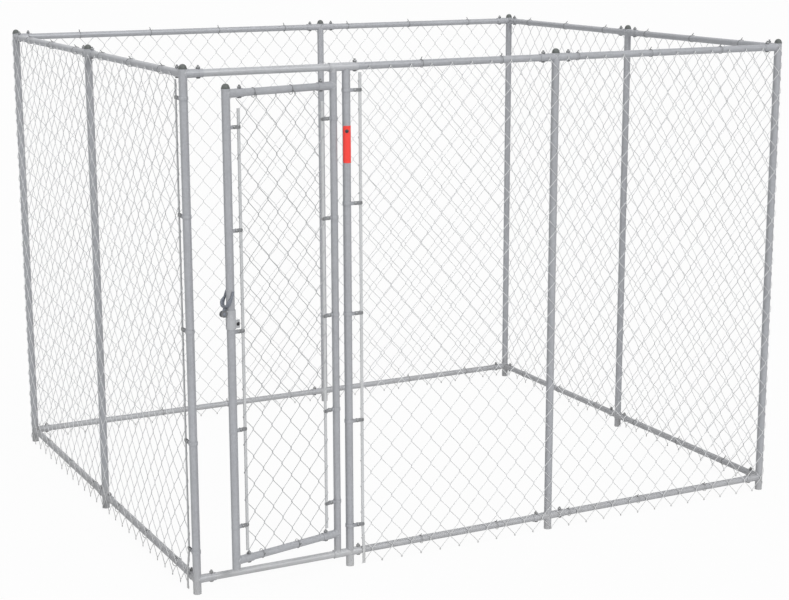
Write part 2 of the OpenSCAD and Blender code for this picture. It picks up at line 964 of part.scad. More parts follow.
// The fork, drawn level with its prongs towards -X and turned up about its pivot
module latch_fork() {
  stem_end = bend_reach - fork_gap - prong_w / 2;
  color(dark_zinc)
    on_gate()
      at_pivot()
        rotate([0, fork_up, 0])
          difference() {
            union() {
              translate([0, -stem_w / 2, 0])
                along_y() cylinder(r = stem_h / 2 + collar_t, h = stem_w);
              translate([-stem_end, -stem_w / 2, -stem_h / 2])
                cube([stem_end, stem_w, stem_h]);
              intersection() {
                translate([0, 0, prong_top - prong_h])
                  linear_extrude(prong_h)
                    difference() {
                      fork_outline(fork_out);
                      fork_outline(fork_gap);
                      translate([-fork_len - over, -fork_gap])
                        square([fork_len - bend_reach + over, 2 * fork_gap]);
                    }
                rotate([90, 0, 0])
                  linear_extrude(4 * fork_out, center = true)
                    strap_side();
              }
            }
            along_y() cylinder(d = small_bolt_d + 2 * pivot_play, h = 2 * fork_out, center = true);
          }
}

placed() corner_post(0);  // corner_post_front_left
placed() corner_post(1);  // corner_post_front_right
placed() corner_post(2);  // corner_post_back_right
placed() corner_post(3);  // corner_post_back_left
placed() mid_post(0);  // mid_post_front
placed() mid_post(1);  // mid_post_right
placed() mid_post(2);  // mid_post_back
placed() mid_post(3);  // mid_post_left
placed() gate_post();
placed() gate_header();
placed() gate_sill();
placed() wall_rail(front_wall, 1, top_rail_z);  // top_rail_front_middle
placed() wall_rail(front_wall, 2, top_rail_z);  // top_rail_front_right
placed() wall_rail(right_wall, 0, top_rail_z);  // top_rail_right_front
placed() wall_rail(right_wall, 1, top_rail_z);  // top_rail_right_back
placed() wall_rail(back_wall, 0, top_rail_z);  // top_rail_back_right
placed() wall_rail(back_wall, 1, top_rail_z);  // top_rail_back_left
placed() wall_rail(left_wall, 0, top_rail_z);  // top_rail_left_back
placed() wall_rail(left_wall, 1, top_rail_z);  // top_rail_left_front
placed() wall_rail(front_wall, 1, bottom_rail_z);  // bottom_rail_front_middle
placed() wall_rail(front_wall, 2, bottom_rail_z);  // bottom_rail_front_right
placed() wall_rail(right_wall, 0, bottom_rail_z);  // bottom_rail_right_front
placed() wall_rail(right_wall, 1, bottom_rail_z);  // bottom_rail_right_back
placed() wall_rail(back_wall, 0, bottom_rail_z);  // bottom_rail_back_right
placed() wall_rail(back_wall, 1, bottom_rail_z);  // bottom_rail_back_left
placed() wall_rail(left_wall, 0, bottom_rail_z);  // bottom_rail_left_back
placed() wall_rail(left_wall, 1, bottom_rail_z);  // bottom_rail_left_front
placed() post_caps();
placed() frame_bolts();
placed() frame_nuts();
placed() wall_fabric(front_wall);  // fabric_front
placed() wall_fabric(right_wall);  // fabric_right
placed() wall_fabric(back_wall);  // fabric_back
placed() wall_fabric(left_wall);  // fabric_left
placed() frame_ties();
placed() front_tension_bar();
placed() side_tension_bar();
placed() frame_bands();
placed() frame_band_bolts();
placed() post_tag();
placed() hinge_stile();
placed() latch_stile();
placed() gate_rail(gate_top_z);  // gate_top_rail
placed() gate_rail(gate_bottom_z);  // gate_bottom_rail
placed() gate_cap();
placed() gate_bolts();
placed() gate_nuts();
placed() gate_fabric();
placed() gate_ties();
placed() hinge_side_bar();
placed() latch_side_bar();
placed() gate_bands();
placed() gate_band_bolts();
placed() latch_collar_outer();
placed() latch_collar_inner();
placed() collar_bolt();
placed() latch_pivot();
placed() latch_fork();
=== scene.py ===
"""Dresses an outdoor dog kennel run: chain-link fabric, ties, bolts, welds, caps, latch and finishes.

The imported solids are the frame. Lengths are metres, the front faces -Y and the ground is Z = 0.
"""

import json
import math

import bmesh
import bpy
import numpy as np
from bpy.props import FloatProperty, FloatVectorProperty, IntProperty, PointerProperty
from mathutils import Matrix, Vector


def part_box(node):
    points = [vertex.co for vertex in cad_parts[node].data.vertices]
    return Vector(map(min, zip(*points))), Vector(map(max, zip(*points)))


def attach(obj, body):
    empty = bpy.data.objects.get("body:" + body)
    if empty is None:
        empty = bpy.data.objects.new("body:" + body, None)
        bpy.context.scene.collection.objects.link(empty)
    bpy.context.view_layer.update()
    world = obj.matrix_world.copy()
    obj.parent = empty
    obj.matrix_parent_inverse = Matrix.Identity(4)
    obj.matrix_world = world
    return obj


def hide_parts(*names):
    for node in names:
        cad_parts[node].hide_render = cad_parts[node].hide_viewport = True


bl_info = {
    "name": "Outdoor dog kennel run",
    "version": (1, 0, 0),
    "blender": (4, 5, 0),
    "location": "View3D > Sidebar > Kennel",
    "description": "Weaves the fabric of a dog run and gives its frame, gate and latch their finishes",
    "category": "Add Mesh",
}

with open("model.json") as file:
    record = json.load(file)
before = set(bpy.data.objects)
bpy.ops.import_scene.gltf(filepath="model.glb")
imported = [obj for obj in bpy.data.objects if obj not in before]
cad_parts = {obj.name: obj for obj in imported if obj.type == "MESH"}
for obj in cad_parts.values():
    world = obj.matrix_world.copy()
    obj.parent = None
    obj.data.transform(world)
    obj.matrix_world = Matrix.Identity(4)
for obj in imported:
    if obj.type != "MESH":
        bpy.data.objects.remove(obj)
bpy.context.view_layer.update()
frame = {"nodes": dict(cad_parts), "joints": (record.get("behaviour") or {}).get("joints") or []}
NODES = frame["nodes"]
JOINTS = {joint["name"]: joint for joint in frame["joints"]}
IMAGE_WIDTH = 789
SENSOR_WIDTH = 36
VIEW_END = 500
FLOOR_HALF = 120
MERGE = 1e-5
UP = Vector((0, 0, 1))
ACROSS = Vector((1, 0, 0))

# Name, direction, strength and spread in degrees
LAMPS = (
    ("Key", (-0.10, 0.85, -0.52), 1.5, 25),
    ("Fill", (0.80, 0.45, -0.40), 0.65, 50),
    ("Top", (0.1, 0.1, -1), 0.9, 60),
    ("Back", (-0.2, -0.8, -0.5), 0.4, 60),
)


def middle(node):
    low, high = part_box(node)
    return (low + high) / 2


def extent(node):
    low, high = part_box(node)
    return high - low


def moved(x, y, z):
    return Matrix.Translation((x, y, z))


def turned(angle, axis="Z"):
    return Matrix.Rotation(angle, 4, axis)


def laid_out(x, y, turn):
    """A wall's own frame: X along it, Y inwards, from the axis of its first post."""
    return moved(x, y, 0) @ turned(turn)


POST_R = extent("gate_post").x / 2
RAIL_R = extent("top_rail_front_middle").z / 2
SOCKET_R = extent("gate_header").y / 2
TOP_Z = middle("top_rail_front_middle").z
BOTTOM_Z = middle("bottom_rail_front_middle").z
GATE_TOP_Z = middle("gate_top_rail").z
GATE_BOTTOM_Z = middle("gate_bottom_rail").z
LEFT_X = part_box("corner_post_front_left")[0].x + POST_R
FRONT_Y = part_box("corner_post_front_left")[0].y + POST_R
RIGHT_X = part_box("corner_post_back_right")[1].x - POST_R
BACK_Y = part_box("corner_post_back_right")[1].y - POST_R
HINGE = Vector(JOINTS["gate_swing"]["pos_m"])
PIVOT = Vector(JOINTS["latch_lift"]["pos_m"])
GATE_INWARD = Vector(JOINTS["latch_lift"]["axis"])
GATE_OPEN = math.atan2(-GATE_INWARD.x, GATE_INWARD.y)
FORK_UP = -math.radians(JOINTS["latch_lift"]["range_deg"][0])
FABRIC_OUT = FRONT_Y - middle("fabric_front").y
GATE_POST = middle("gate_post")
WALLS = {
    "front": laid_out(LEFT_X, FRONT_Y, 0),
    "right": laid_out(RIGHT_X, FRONT_Y, math.pi / 2),
    "back": laid_out(RIGHT_X, BACK_Y, math.pi),
    "left": laid_out(LEFT_X, BACK_Y, -math.pi / 2),
}
WALL_LENGTH = dict(zip(WALLS, 2 * (RIGHT_X - LEFT_X, BACK_Y - FRONT_Y)))
GATE = laid_out(HINGE.x, HINGE.y, GATE_OPEN)
LATCH_X = (GATE.inverted() @ middle("gate_cap")).x


def length(name, description, default):
    return FloatProperty(name=name, description=description, default=default, min=0, unit="LENGTH")


def colour(name, description, default):
    return FloatVectorProperty(
        name=name, description=description, default=default, size=3, min=0, max=1, subtype="COLOR"
    )


class KennelSizes(bpy.types.PropertyGroup):
    """Sizes of the pieces that dress the frame"""

    mesh_width: length("Mesh width", "Width of a diamond of the run's fabric", 0.0805)
    gate_mesh_width: length("Gate mesh width", "Width of a diamond of the gate's fabric", 0.076)
    mesh_height: length("Mesh height", "Height of a diamond of the fabric", 0.097)
    wire_r: length("Wire radius", "Radius of the fabric's wire", 0.0012)
    hook: length("Hook", "Overlap of two wires where they hook together", 0.0013)
    bar_grip: length("Bar grip", "Depth of the end wire in front of and behind a tension bar", 0.0032)
    bar_ease: length("Bar ease", "Stretch over which the fabric comes in to a tension bar", 0.15)
    tie_tail: length("Tie tail", "Length of a tie's twisted tail", 0.022)
    band_thickness: length("Band thickness", "Thickness of a tension band", 0.0016)
    band_fit: length("Band fit", "Gap between a band's ear and its tension bar", 0.0003)
    sleeve_lead: length("Sleeve lead", "Length of a gate beam's sleeve before the hinge line", 0.015)
    weld_r: length("Weld radius", "Radius of the weld bead round a socket", 0.0017)
    cap_height: length("Cap height", "Height of a cap above its tube", 0.017)
    cap_rim: length("Cap rim", "Height of a cap's straight rim", 0.004)
    tag_corner: length("Tag corner", "Radius of the tag's corners", 0.006)
    rivet_r: length("Rivet radius", "Radius of the rivet that holds the tag", 0.0065)
    rivet_drop: length("Rivet drop", "Drop of the rivet below the top of the tag", 0.018)
    strap_thickness: length("Strap thickness", "Thickness of the fork's strap", 0.007)
    strap_top: length("Strap top", "Height of the strap's top edge above the pivot", 0.005)
    strap_height: length("Strap height", "Height of the fork's strap at its bend", 0.015)
    tip_height: length("Tip height", "Height of a prong at its tip", 0.007)
    bend_reach: length("Bend reach", "Distance from the pivot to the middle of the fork's bend", 0.044)
    stem_width: length("Stem width", "Width of the fork's stem", 0.008)
    stem_height: length("Stem height", "Height of the fork's stem", 0.010)
    eye_r: length("Eye radius", "Radius of the fork's eye", 0.0075)
    thread_pitch: length("Thread pitch", "Distance between two ridges of a bolt's thread", 0.00125)
    samples: IntProperty(name="Samples", description="Points of a wire in each row", default=7, min=4)


class KennelColours(bpy.types.PropertyGroup):
    """Colours of the finishes"""

    tube: colour("Tube", "Galvanised posts, rails and stiles", (0.42, 0.43, 0.455))
    fitting: colour("Fitting", "Welded gate beams and latch collar", (0.50, 0.51, 0.53))
    wire: colour("Wire", "Wire of the run's fabric", (0.70, 0.71, 0.72))
    gate_wire: colour("Gate wire", "Wire of the gate's fabric, and the clenched ends of the run's", (0.48, 0.49, 0.50))
    bar: colour("Bar", "Tension bars", (0.60, 0.61, 0.62))
    tie: colour("Tie", "Tie wires", (0.22, 0.225, 0.23))
    # Painted shade on the ears of the tension bands; the latch collar also darkens round the pivot in this colour
    ear: colour("Ear", "Shaded ears of the tension bands", (0.21, 0.215, 0.22))
    bolt: colour("Bolt", "Bolts and nuts", (0.25, 0.255, 0.26))
    latch: colour("Latch", "Latch fork and its pivot", (0.22, 0.235, 0.27))
    latch_bolt: colour("Latch bolt", "Bolt of the latch collar, and the tag's rivet", (0.03, 0.03, 0.033))
    cap: colour("Cap", "Post caps", (0.105, 0.115, 0.11))
    tag: colour("Tag", "Tag on the gate post", (1.0, 0.06, 0.045))
    dust: colour("Dust", "Dust thrown up from the ground", (0.50, 0.49, 0.47))
    floor: colour("Floor", "Studio floor", (0.86, 0.86, 0.86))


class KennelStage(bpy.types.PropertyGroup):
    """Camera and light of the studio"""

    eye: FloatVectorProperty(
        name="Eye", description="Camera's place from the foot of the front left post",
        default=(-1.9698, -5.3540, 2.2914), size=3, unit="LENGTH",
    )
    look: FloatVectorProperty(
        name="Look", description="Direction that the camera looks in",
        default=(0.44506, 0.86921, -0.21538), size=3, subtype="DIRECTION",
    )
    roll: FloatProperty(
        name="Roll", description="Turn of the camera about its own axis",
        default=math.radians(-0.14), unit="ROTATION",
    )
    focal_pixels: FloatProperty(
        name="Focal length", description="Focal length in pixels of the image", default=1734.2, min=1
    )
    floor_glow: FloatProperty(
        name="Floor glow", description="Share of plain white in the floor that the camera sees",
        default=0.95, min=0, max=1, subtype="FACTOR",
    )
    sky: FloatProperty(name="Sky", description="Strength of the light from all round", default=0.1, min=0)


def sizes():
    return bpy.context.scene.kennel_sizes


def colours():
    return bpy.context.scene.kennel_colours


def stage_settings():
    return bpy.context.scene.kennel_stage


# Node trees


class Tree:
    """A node tree under construction; a group's inputs and outputs are given as names and kinds of socket"""

    def __init__(self, tree, inputs=None, outputs=None):
        self.tree = tree
        if inputs:
            for side, sockets in (("INPUT", inputs), ("OUTPUT", outputs)):
                for name, kind in sockets.items():
                    tree.interface.new_socket(name, in_out=side, socket_type="NodeSocket" + kind)
            self.inputs = tree.nodes.new("NodeGroupInput").outputs
            self.outputs = tree.nodes.new("NodeGroupOutput").inputs

    def __getitem__(self, name):
        """One of a group's own inputs."""
        return Field(self, self.inputs[name])

    def feed(self, sockets, values):
        """Links or sets sockets by name or number. A node stands for its first output."""
        for key, value in values.items():
            if isinstance(value, Field):
                value = value.socket
            if isinstance(value, bpy.types.Node):
                value = value.outputs[0]
            if isinstance(value, bpy.types.NodeSocket):
                self.tree.links.new(value, sockets[key])
            else:
                sockets[key].default_value = value

    def add(self, kind, sockets=None, **attributes):
        """Adds a node, sets its attributes and feeds its inputs."""
        node = self.tree.nodes.new(kind)
        for name, value in attributes.items():
            setattr(node, name, value)
        self.feed(node.inputs, sockets or {})
        return node

    def field(self, socket):
        return Field(self, socket)

    def math(self, operation, *values, clamp=False):
        node = self.add("ShaderNodeMath", dict(enumerate(values)), operation=operation, use_clamp=clamp)
        return Field(self, node.outputs[0])

    def vector(self, operation, *values, **named):
        node = self.add("ShaderNodeVectorMath", {**dict(enumerate(values)), **named}, operation=operation)
        return node.outputs["Vector"]

    def noise(self, place, scale, detail, roughness=0.5):
        return self.add("ShaderNodeTexNoise", {
            "Vector": place, "Scale": scale, "Detail": detail, "Roughness": roughness}).outputs

    def blend(self, factor, a, b):
        """Mixes two colours, by the Mix node's sockets for colours."""
        return self.add("ShaderNodeMix", {0: factor, 6: a, 7: b}, data_type="RGBA").outputs[2]

    def end(self, geometry):
        """Ends a Geometry Nodes tree with plain geometry in the finish that it was given."""
        realized = self.add("GeometryNodeRealizeInstances", {"Geometry": geometry})
        finished = self.add("GeometryNodeSetMaterial", {"Geometry": realized, "Material": self["Finish"]})
        self.feed(self.outputs, {"Geometry": finished})


class Field:
    """A value in a tree; arithmetic on it adds Math nodes"""

    def __init__(self, tree, socket):
        self.tree = tree
        self.socket = socket

    def __add__(self, other):
        return self.tree.math("ADD", self, other)

    def __sub__(self, other):
        return self.tree.math("SUBTRACT", self, other)

    def __rsub__(self, other):
        return self.tree.math("SUBTRACT", other, self)

    def __mul__(self, other):
        return self.tree.math("MULTIPLY", self, other)

    def __truediv__(self, other):
        return self.tree.math("DIVIDE", self, other)


def node_group(name, kind, inputs, outputs):
    """Turns a function that fills a tree into one that gives the filled group, made when first asked for."""
    def wrapped(fill):
        def group():
            found = bpy.data.node_groups.get(name)
            if not found:
                found = bpy.data.node_groups.new(name, kind)
                fill(Tree(found, inputs, outputs))
            return found
        return group
    return wrapped


def grown(name, mesh, tree, values):
    """Runs a Geometry Nodes tree on a mesh and returns the result as a plain mesh object."""
    source = bpy.data.objects.new(name + "_source", mesh)
    bpy.context.scene.collection.objects.link(source)
    modifier = source.modifiers.new("Grow", "NODES")
    modifier.node_group = tree
    for item in tree.interface.items_tree:
        if item.in_out == "INPUT" and item.name in values:
            modifier[item.identifier] = values[item.name]
    evaluated = source.evaluated_get(bpy.context.evaluated_depsgraph_get())
    result = bpy.data.meshes.new_from_object(evaluated)
    bpy.data.objects.remove(source)
    bpy.data.meshes.remove(mesh)
    if not result.polygons:
        raise RuntimeError(f"{name} came out empty")
    return placed(name, result)


def placed(name, mesh, *finishes):
    """Puts a mesh in the scene as an object, in its finishes."""
    mesh.name = name
    for finish in finishes:
        mesh.materials.append(finish)
    piece = bpy.data.objects.new(name, mesh)
    bpy.context.scene.collection.objects.link(piece)
    return piece


def carried(piece, body, slot, *nodes):
    """Hangs a finished piece on a body, in the place of CAD nodes where it stands for some."""
    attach(piece, body)
    if nodes:
        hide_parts(*nodes)


# Meshes


def arc(radius, start, turn, steps, flatten=1.0):
    """Points (x, y) along an arc about the origin, with y flattened."""
    return [(radius * math.cos(a), flatten * radius * math.sin(a))
            for a in (start + turn * k / steps for k in range(steps + 1))]


def round_profile(radius, sides):
    return arc(radius, 0, 2 * math.pi, sides)[:-1]


def rounded_profile(width, height, radius, rise=0.0, steps=3):
    """Outline of a bar's section, width by height with round corners, raised, as points (across, up)."""
    points = []
    for quarter, (x, y) in enumerate(((1, 1), (-1, 1), (-1, -1), (1, -1))):
        points += [(x * (width / 2 - radius) + u, rise + y * (height / 2 - radius) + v)
                   for u, v in arc(radius, math.pi / 2 * quarter, math.pi / 2, steps)]
    return points


def lathe(profile, segments, bm=None):
    """Turns a profile of (radius, height) about Z. A radius of zero closes a pole."""
    if bm is None:
        bm = bmesh.new()
    rings = []
    for radius, height in profile:
        ring = round_profile(radius, segments) if radius else [(0, 0)]
        rings.append([bm.verts.new((x, y, height)) for x, y in ring])
    for low, high in zip(rings, rings[1:]):
        for k in range(segments):
            corners = [low[k % len(low)], low[(k + 1) % len(low)], high[(k + 1) % len(high)], high[k % len(high)]]
            bm.faces.new(list(dict.fromkeys(corners)))
    return bm


def sweep(bm, path, sections, up):
    """Draws a section at each point of an open path. A section's second coordinate starts along up."""
    path = [Vector(p) for p in path]
    rings = []
    for k, point in enumerate(path):
        ahead = (path[min(k + 1, len(path) - 1)] - path[max(k - 1, 0)]).normalized()
        up = (up - up.dot(ahead) * ahead).normalized()
        across = ahead.cross(up)
        rings.append([bm.verts.new(point + u * across + v * up) for u, v in sections[k]])
    for low, high in zip(rings, rings[1:]):
        for k in range(len(low)):
            n = (k + 1) % len(low)
            bm.faces.new((low[k], low[n], high[n], high[k]))
    bm.faces.new(rings[0])
    bm.faces.new(rings[-1])
    return bm


def draw(bm, path, section, up):
    """Draws one section along an open path."""
    return sweep(bm, path, [section] * len(path), up)


def joined(bm):
    """Closes a mesh whose ends meet."""
    bmesh.ops.remove_doubles(bm, verts=bm.verts, dist=MERGE)
    return bm


def solid_mesh(bm, crease=35):
    """Finishes a closed mesh: outward normals, and smooth faces between its sharp edges."""
    bmesh.ops.recalc_face_normals(bm, faces=bm.faces)
    mesh = bpy.data.meshes.new("solid")
    bm.to_mesh(mesh)
    bm.free()
    mesh.shade_smooth()
    mesh.set_sharp_from_angle(angle=math.radians(crease))
    return mesh


def solids(node, into=None):
    """Lowest and highest corner of each separate solid of a CAD node in a wall's own frame, in a fixed order."""
    local = into.inverted() if into else Matrix()
    bm = bmesh.new()
    bm.from_mesh(NODES[node].data)
    joined(bm)
    found, left = [], set(bm.verts)
    while left:
        front = [left.pop()]
        points = []
        while front:
            vertex = front.pop()
            points.append(local @ vertex.co)
            near = {edge.other_vert(vertex) for edge in vertex.link_edges} & left
            left -= near
            front.extend(near)
        found.append((Vector(np.min(points, 0)), Vector(np.max(points, 0))))
    bm.free()
    return sorted(found, key=lambda box: [round(c, 3) for c in box[0]])


def bar_section():
    """Width and thickness of a tension bar."""
    low, high = solids("latch_side_bar", GATE)[0]
    return high.x - low.x, high.y - low.y


def bar_depth():
    """Distance of the run's tension bars outside their posts' middle, where the bands draw them in."""
    return FRONT_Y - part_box("front_tension_bar")[1].y + bar_section()[1] / 2


def nearest_wall(point):
    """The wall that a point lies on, and the point in that wall's own frame."""
    local = {name: wall.inverted() @ point for name, wall in WALLS.items()}
    name = min(local, key=lambda n: abs(local[n].y))
    return WALLS[name], local[name]


@node_group("Set at places", "GeometryNodeTree",
            {"Places": "Geometry", "Piece": "Object", "Finish": "Material"}, {"Geometry": "Geometry"})
def places_tree(tree):
    """Sets a piece at every point of a mesh, turned by the point's turn."""
    piece = tree.add("GeometryNodeObjectInfo", {"Object": tree["Piece"]})
    turn = tree.add("GeometryNodeInputNamedAttribute", {"Name": "turn"}, data_type="FLOAT_VECTOR")
    rotation = tree.add("FunctionNodeEulerToRotation", {"Euler": turn})
    tree.end(tree.add("GeometryNodeInstanceOnPoints", {
        "Points": tree["Places"], "Instance": piece.outputs["Geometry"], "Rotation": rotation}))


def set_out(name, prototype, matrices, finish, body, slot, *nodes):
    """Repeats a prototype mesh at each place, by Geometry Nodes, and hangs the piece on a body."""
    points = bpy.data.meshes.new(name + "_places")
    points.from_pydata([m.translation for m in matrices], [], [])
    turn = points.attributes.new("turn", "FLOAT_VECTOR", "POINT")
    turn.data.foreach_set("vector", np.ravel([m.to_euler() for m in matrices]))
    model = bpy.data.objects.new(name + "_model", prototype)
    bpy.context.scene.collection.objects.link(model)
    piece = grown(name, points, places_tree(), {"Piece": model, "Finish": finish})
    bpy.data.objects.remove(model)
    bpy.data.meshes.remove(prototype)
    carried(piece, body, slot, *nodes)


# Finishes

# Strength of a tube's draw lines, height and amount of the dust, and gloss of the oxide
DRAW_LINES = 0.22
DUST_REACH, DUST_AMOUNT = 0.16, 0.7
OXIDE_GLOSS = 0.15


@node_group("Zinc spangle", "ShaderNodeTree",
            {"Vector": "Vector", "Colour": "Color", "Crystals": "Float", "Contrast": "Float"},
            {"Colour": "Color", "Tone": "Float"})
def spangle_group(tree):
    """The cloudy crystals of a zinc coat: a tone for each crystal, and slow stains over them."""
    place, wander = tree["Vector"], (0.006,) * 3
    cell_part, stain_part = 0.55, 1.1
    bent = tree.vector("MULTIPLY_ADD", tree.noise(place, 90, 2)["Color"], wander, place)
    crystal = tree.add("ShaderNodeTexVoronoi", {"Vector": bent, "Scale": tree["Crystals"]})
    cell = tree.field(tree.add("ShaderNodeSeparateColor", {"Color": crystal.outputs["Color"]}))
    stain = tree.field(tree.noise(place, 7, 4, 0.6)["Fac"])
    tone = (cell - 0.5) * cell_part + (stain - 0.5) * stain_part
    bright = tree.math("MULTIPLY_ADD", tone, tree["Contrast"], 1)
    tree.feed(tree.outputs, {
        "Colour": tree.vector("SCALE", tree["Colour"], Scale=bright), "Tone": tone + 0.5})


@node_group("Draw lines", "ShaderNodeTree", {"Vector": "Vector", "Colour": "Color", "Strength": "Float"},
            {"Colour": "Color", "Height": "Float"})
def streak_group(tree):
    """Faint lines along a drawn tube or wire, from a place that is stretched along it."""
    height = tree.field(tree.noise(tree["Vector"], 260, 3)["Fac"])
    bright = tree.math("MULTIPLY_ADD", height - 0.5, tree["Strength"], 1)
    tree.feed(tree.outputs, {
        "Colour": tree.vector("SCALE", tree["Colour"], Scale=bright), "Height": height})


@node_group("Ground dust", "ShaderNodeTree",
            {"Vector": "Vector", "Colour": "Color", "Dust": "Color", "Reach": "Float", "Amount": "Float"},
            {"Colour": "Color", "Mask": "Float"})
def dust_group(tree):
    """Dust and dried splashes that thin out above the ground."""
    height = tree.add("ShaderNodeSeparateXYZ", {"Vector": tree["Vector"]}).outputs["Z"]
    near = 1 - tree.field(height) / tree["Reach"]
    specks = tree.noise(tree["Vector"], 45, 5)["Fac"]
    mask = tree.math("MULTIPLY", tree.math("MULTIPLY", near, specks, clamp=True), tree["Amount"], clamp=True)
    tree.feed(tree.outputs, {
        "Colour": tree.blend(mask, tree["Colour"], tree["Dust"]), "Mask": mask})


def material(paint):
    """Turns a function that paints a shader into one that gives the material, made when first asked for."""
    def finish(name, *values, **named):
        found = bpy.data.materials.get(name)
        if not found:
            found = bpy.data.materials.new(name)
            found.use_nodes = True
            paint(Tree(found.node_tree), found.node_tree.nodes["Principled BSDF"], *values, **named)
        return found
    return finish


@material
def zinc(tree, shader, tint, stretch=(1, 1, 1), turn=0.0, metallic=0.15, roughness=0.38, contrast=0.16,
         crystals=130.0, dark_tint=None, pivot=None):
    """A galvanised finish with its draw lines along the axis whose stretch is small.

    A dark tint paints shade on the ears of a band, where the ear mask marks them; with a pivot, it instead darkens
    what lies within a radius of the pivot.
    """
    place = tree.add("ShaderNodeTexCoord").outputs["Object"]
    along = tree.add("ShaderNodeMapping", {"Vector": place, "Rotation": (0, 0, turn), "Scale": stretch})
    base = (*tint, 1)
    # Darker within a radius of the pivot
    if pivot:
        centre, radius = pivot
        away = tree.add("ShaderNodeVectorMath", {0: place, 1: centre}, operation="DISTANCE").outputs["Value"]
        near = tree.add("ShaderNodeMapRange", {"Value": away, "From Min": 1.1 * radius, "From Max": radius})
        base = tree.blend(near, base, (*dark_tint, 1))
    # Painted shade on a band's ears: the ear mask blends them towards the dark tint
    elif dark_tint:
        ear = tree.add("ShaderNodeAttribute", attribute_name="ear").outputs["Fac"]
        base = tree.blend(ear, base, (*dark_tint, 1))
    coat = tree.add("ShaderNodeGroup", {
        "Vector": place, "Colour": base, "Crystals": crystals, "Contrast": contrast}, node_tree=spangle_group())
    lines = tree.add("ShaderNodeGroup", {
        "Vector": along, "Colour": coat.outputs["Colour"], "Strength": DRAW_LINES},
        node_tree=streak_group())
    dust = tree.add("ShaderNodeGroup", {
        "Vector": place, "Colour": lines.outputs["Colour"], "Dust": (*colours().dust, 1), "Reach": DUST_REACH,
        "Amount": DUST_AMOUNT}, node_tree=dust_group())
    bump = tree.add("ShaderNodeBump", {"Strength": 0.12, "Distance": 0.0004, "Height": lines.outputs["Height"]})
    tone_part, dust_part = 0.16, 0.25
    rough = (tree.field(coat.outputs["Tone"]) * tone_part + tree.field(dust.outputs["Mask"]) * dust_part
             + (roughness - tone_part / 2))
    # The skin of oxide hides most of the metal's own gloss
    tree.feed(shader.inputs, {
        "Metallic": metallic, "Specular IOR Level": OXIDE_GLOSS, "Base Color": dust.outputs["Colour"],
        "Roughness": rough, "Normal": bump})


@material
def moulded(tree, shader, tint, roughness, grain):
    """A moulded or painted finish with a fine grain and faint scuffs."""
    place = tree.add("ShaderNodeTexCoord").outputs["Object"]
    pores = tree.noise(place, 1400, 2)["Fac"]
    scuffs = tree.noise(place, 60, 5, 0.7)["Fac"]
    worn_from, worn_gain, worn_rough = 0.52, 1.6, 0.2
    worn = tree.math("MULTIPLY", tree.math("SUBTRACT", scuffs, worn_from), worn_gain, clamp=True)
    paler = tuple(min(1, 1.5 * c + 0.02) for c in tint)
    bump = tree.add("ShaderNodeBump", {"Strength": grain, "Distance": 0.0003, "Height": pores})
    tree.feed(shader.inputs, {
        "Base Color": tree.blend(worn, (*tint, 1), (*paler, 1)),
        "Roughness": tree.math("MULTIPLY_ADD", worn, worn_rough, roughness), "Normal": bump})


def drawn_wire(name, tint, contrast=0.2):
    return zinc(name, tint, contrast=contrast, crystals=300)


# Fabric

# How much a wire's points crowd at its bends, how sharp the bends are, and how quickly it changes sides
CROWDING, BEND, QUICK = 0.85, 0.985, 3
# Distances from the end of the fabric at which its wire begins to part round the bar, and has parted
GRIP_FROM, GRIP_FULL = 0.03, 0.01
COUNTS = ("First wire", "Wires", "Rows", "Samples")
LENGTHS = ("Start", "End", "Half mesh", "Row height", "Bottom", "Wire radius", "Hook", "Bar grip", "Pull", "Ease",
           "Foot", "Low", "High", "Head")


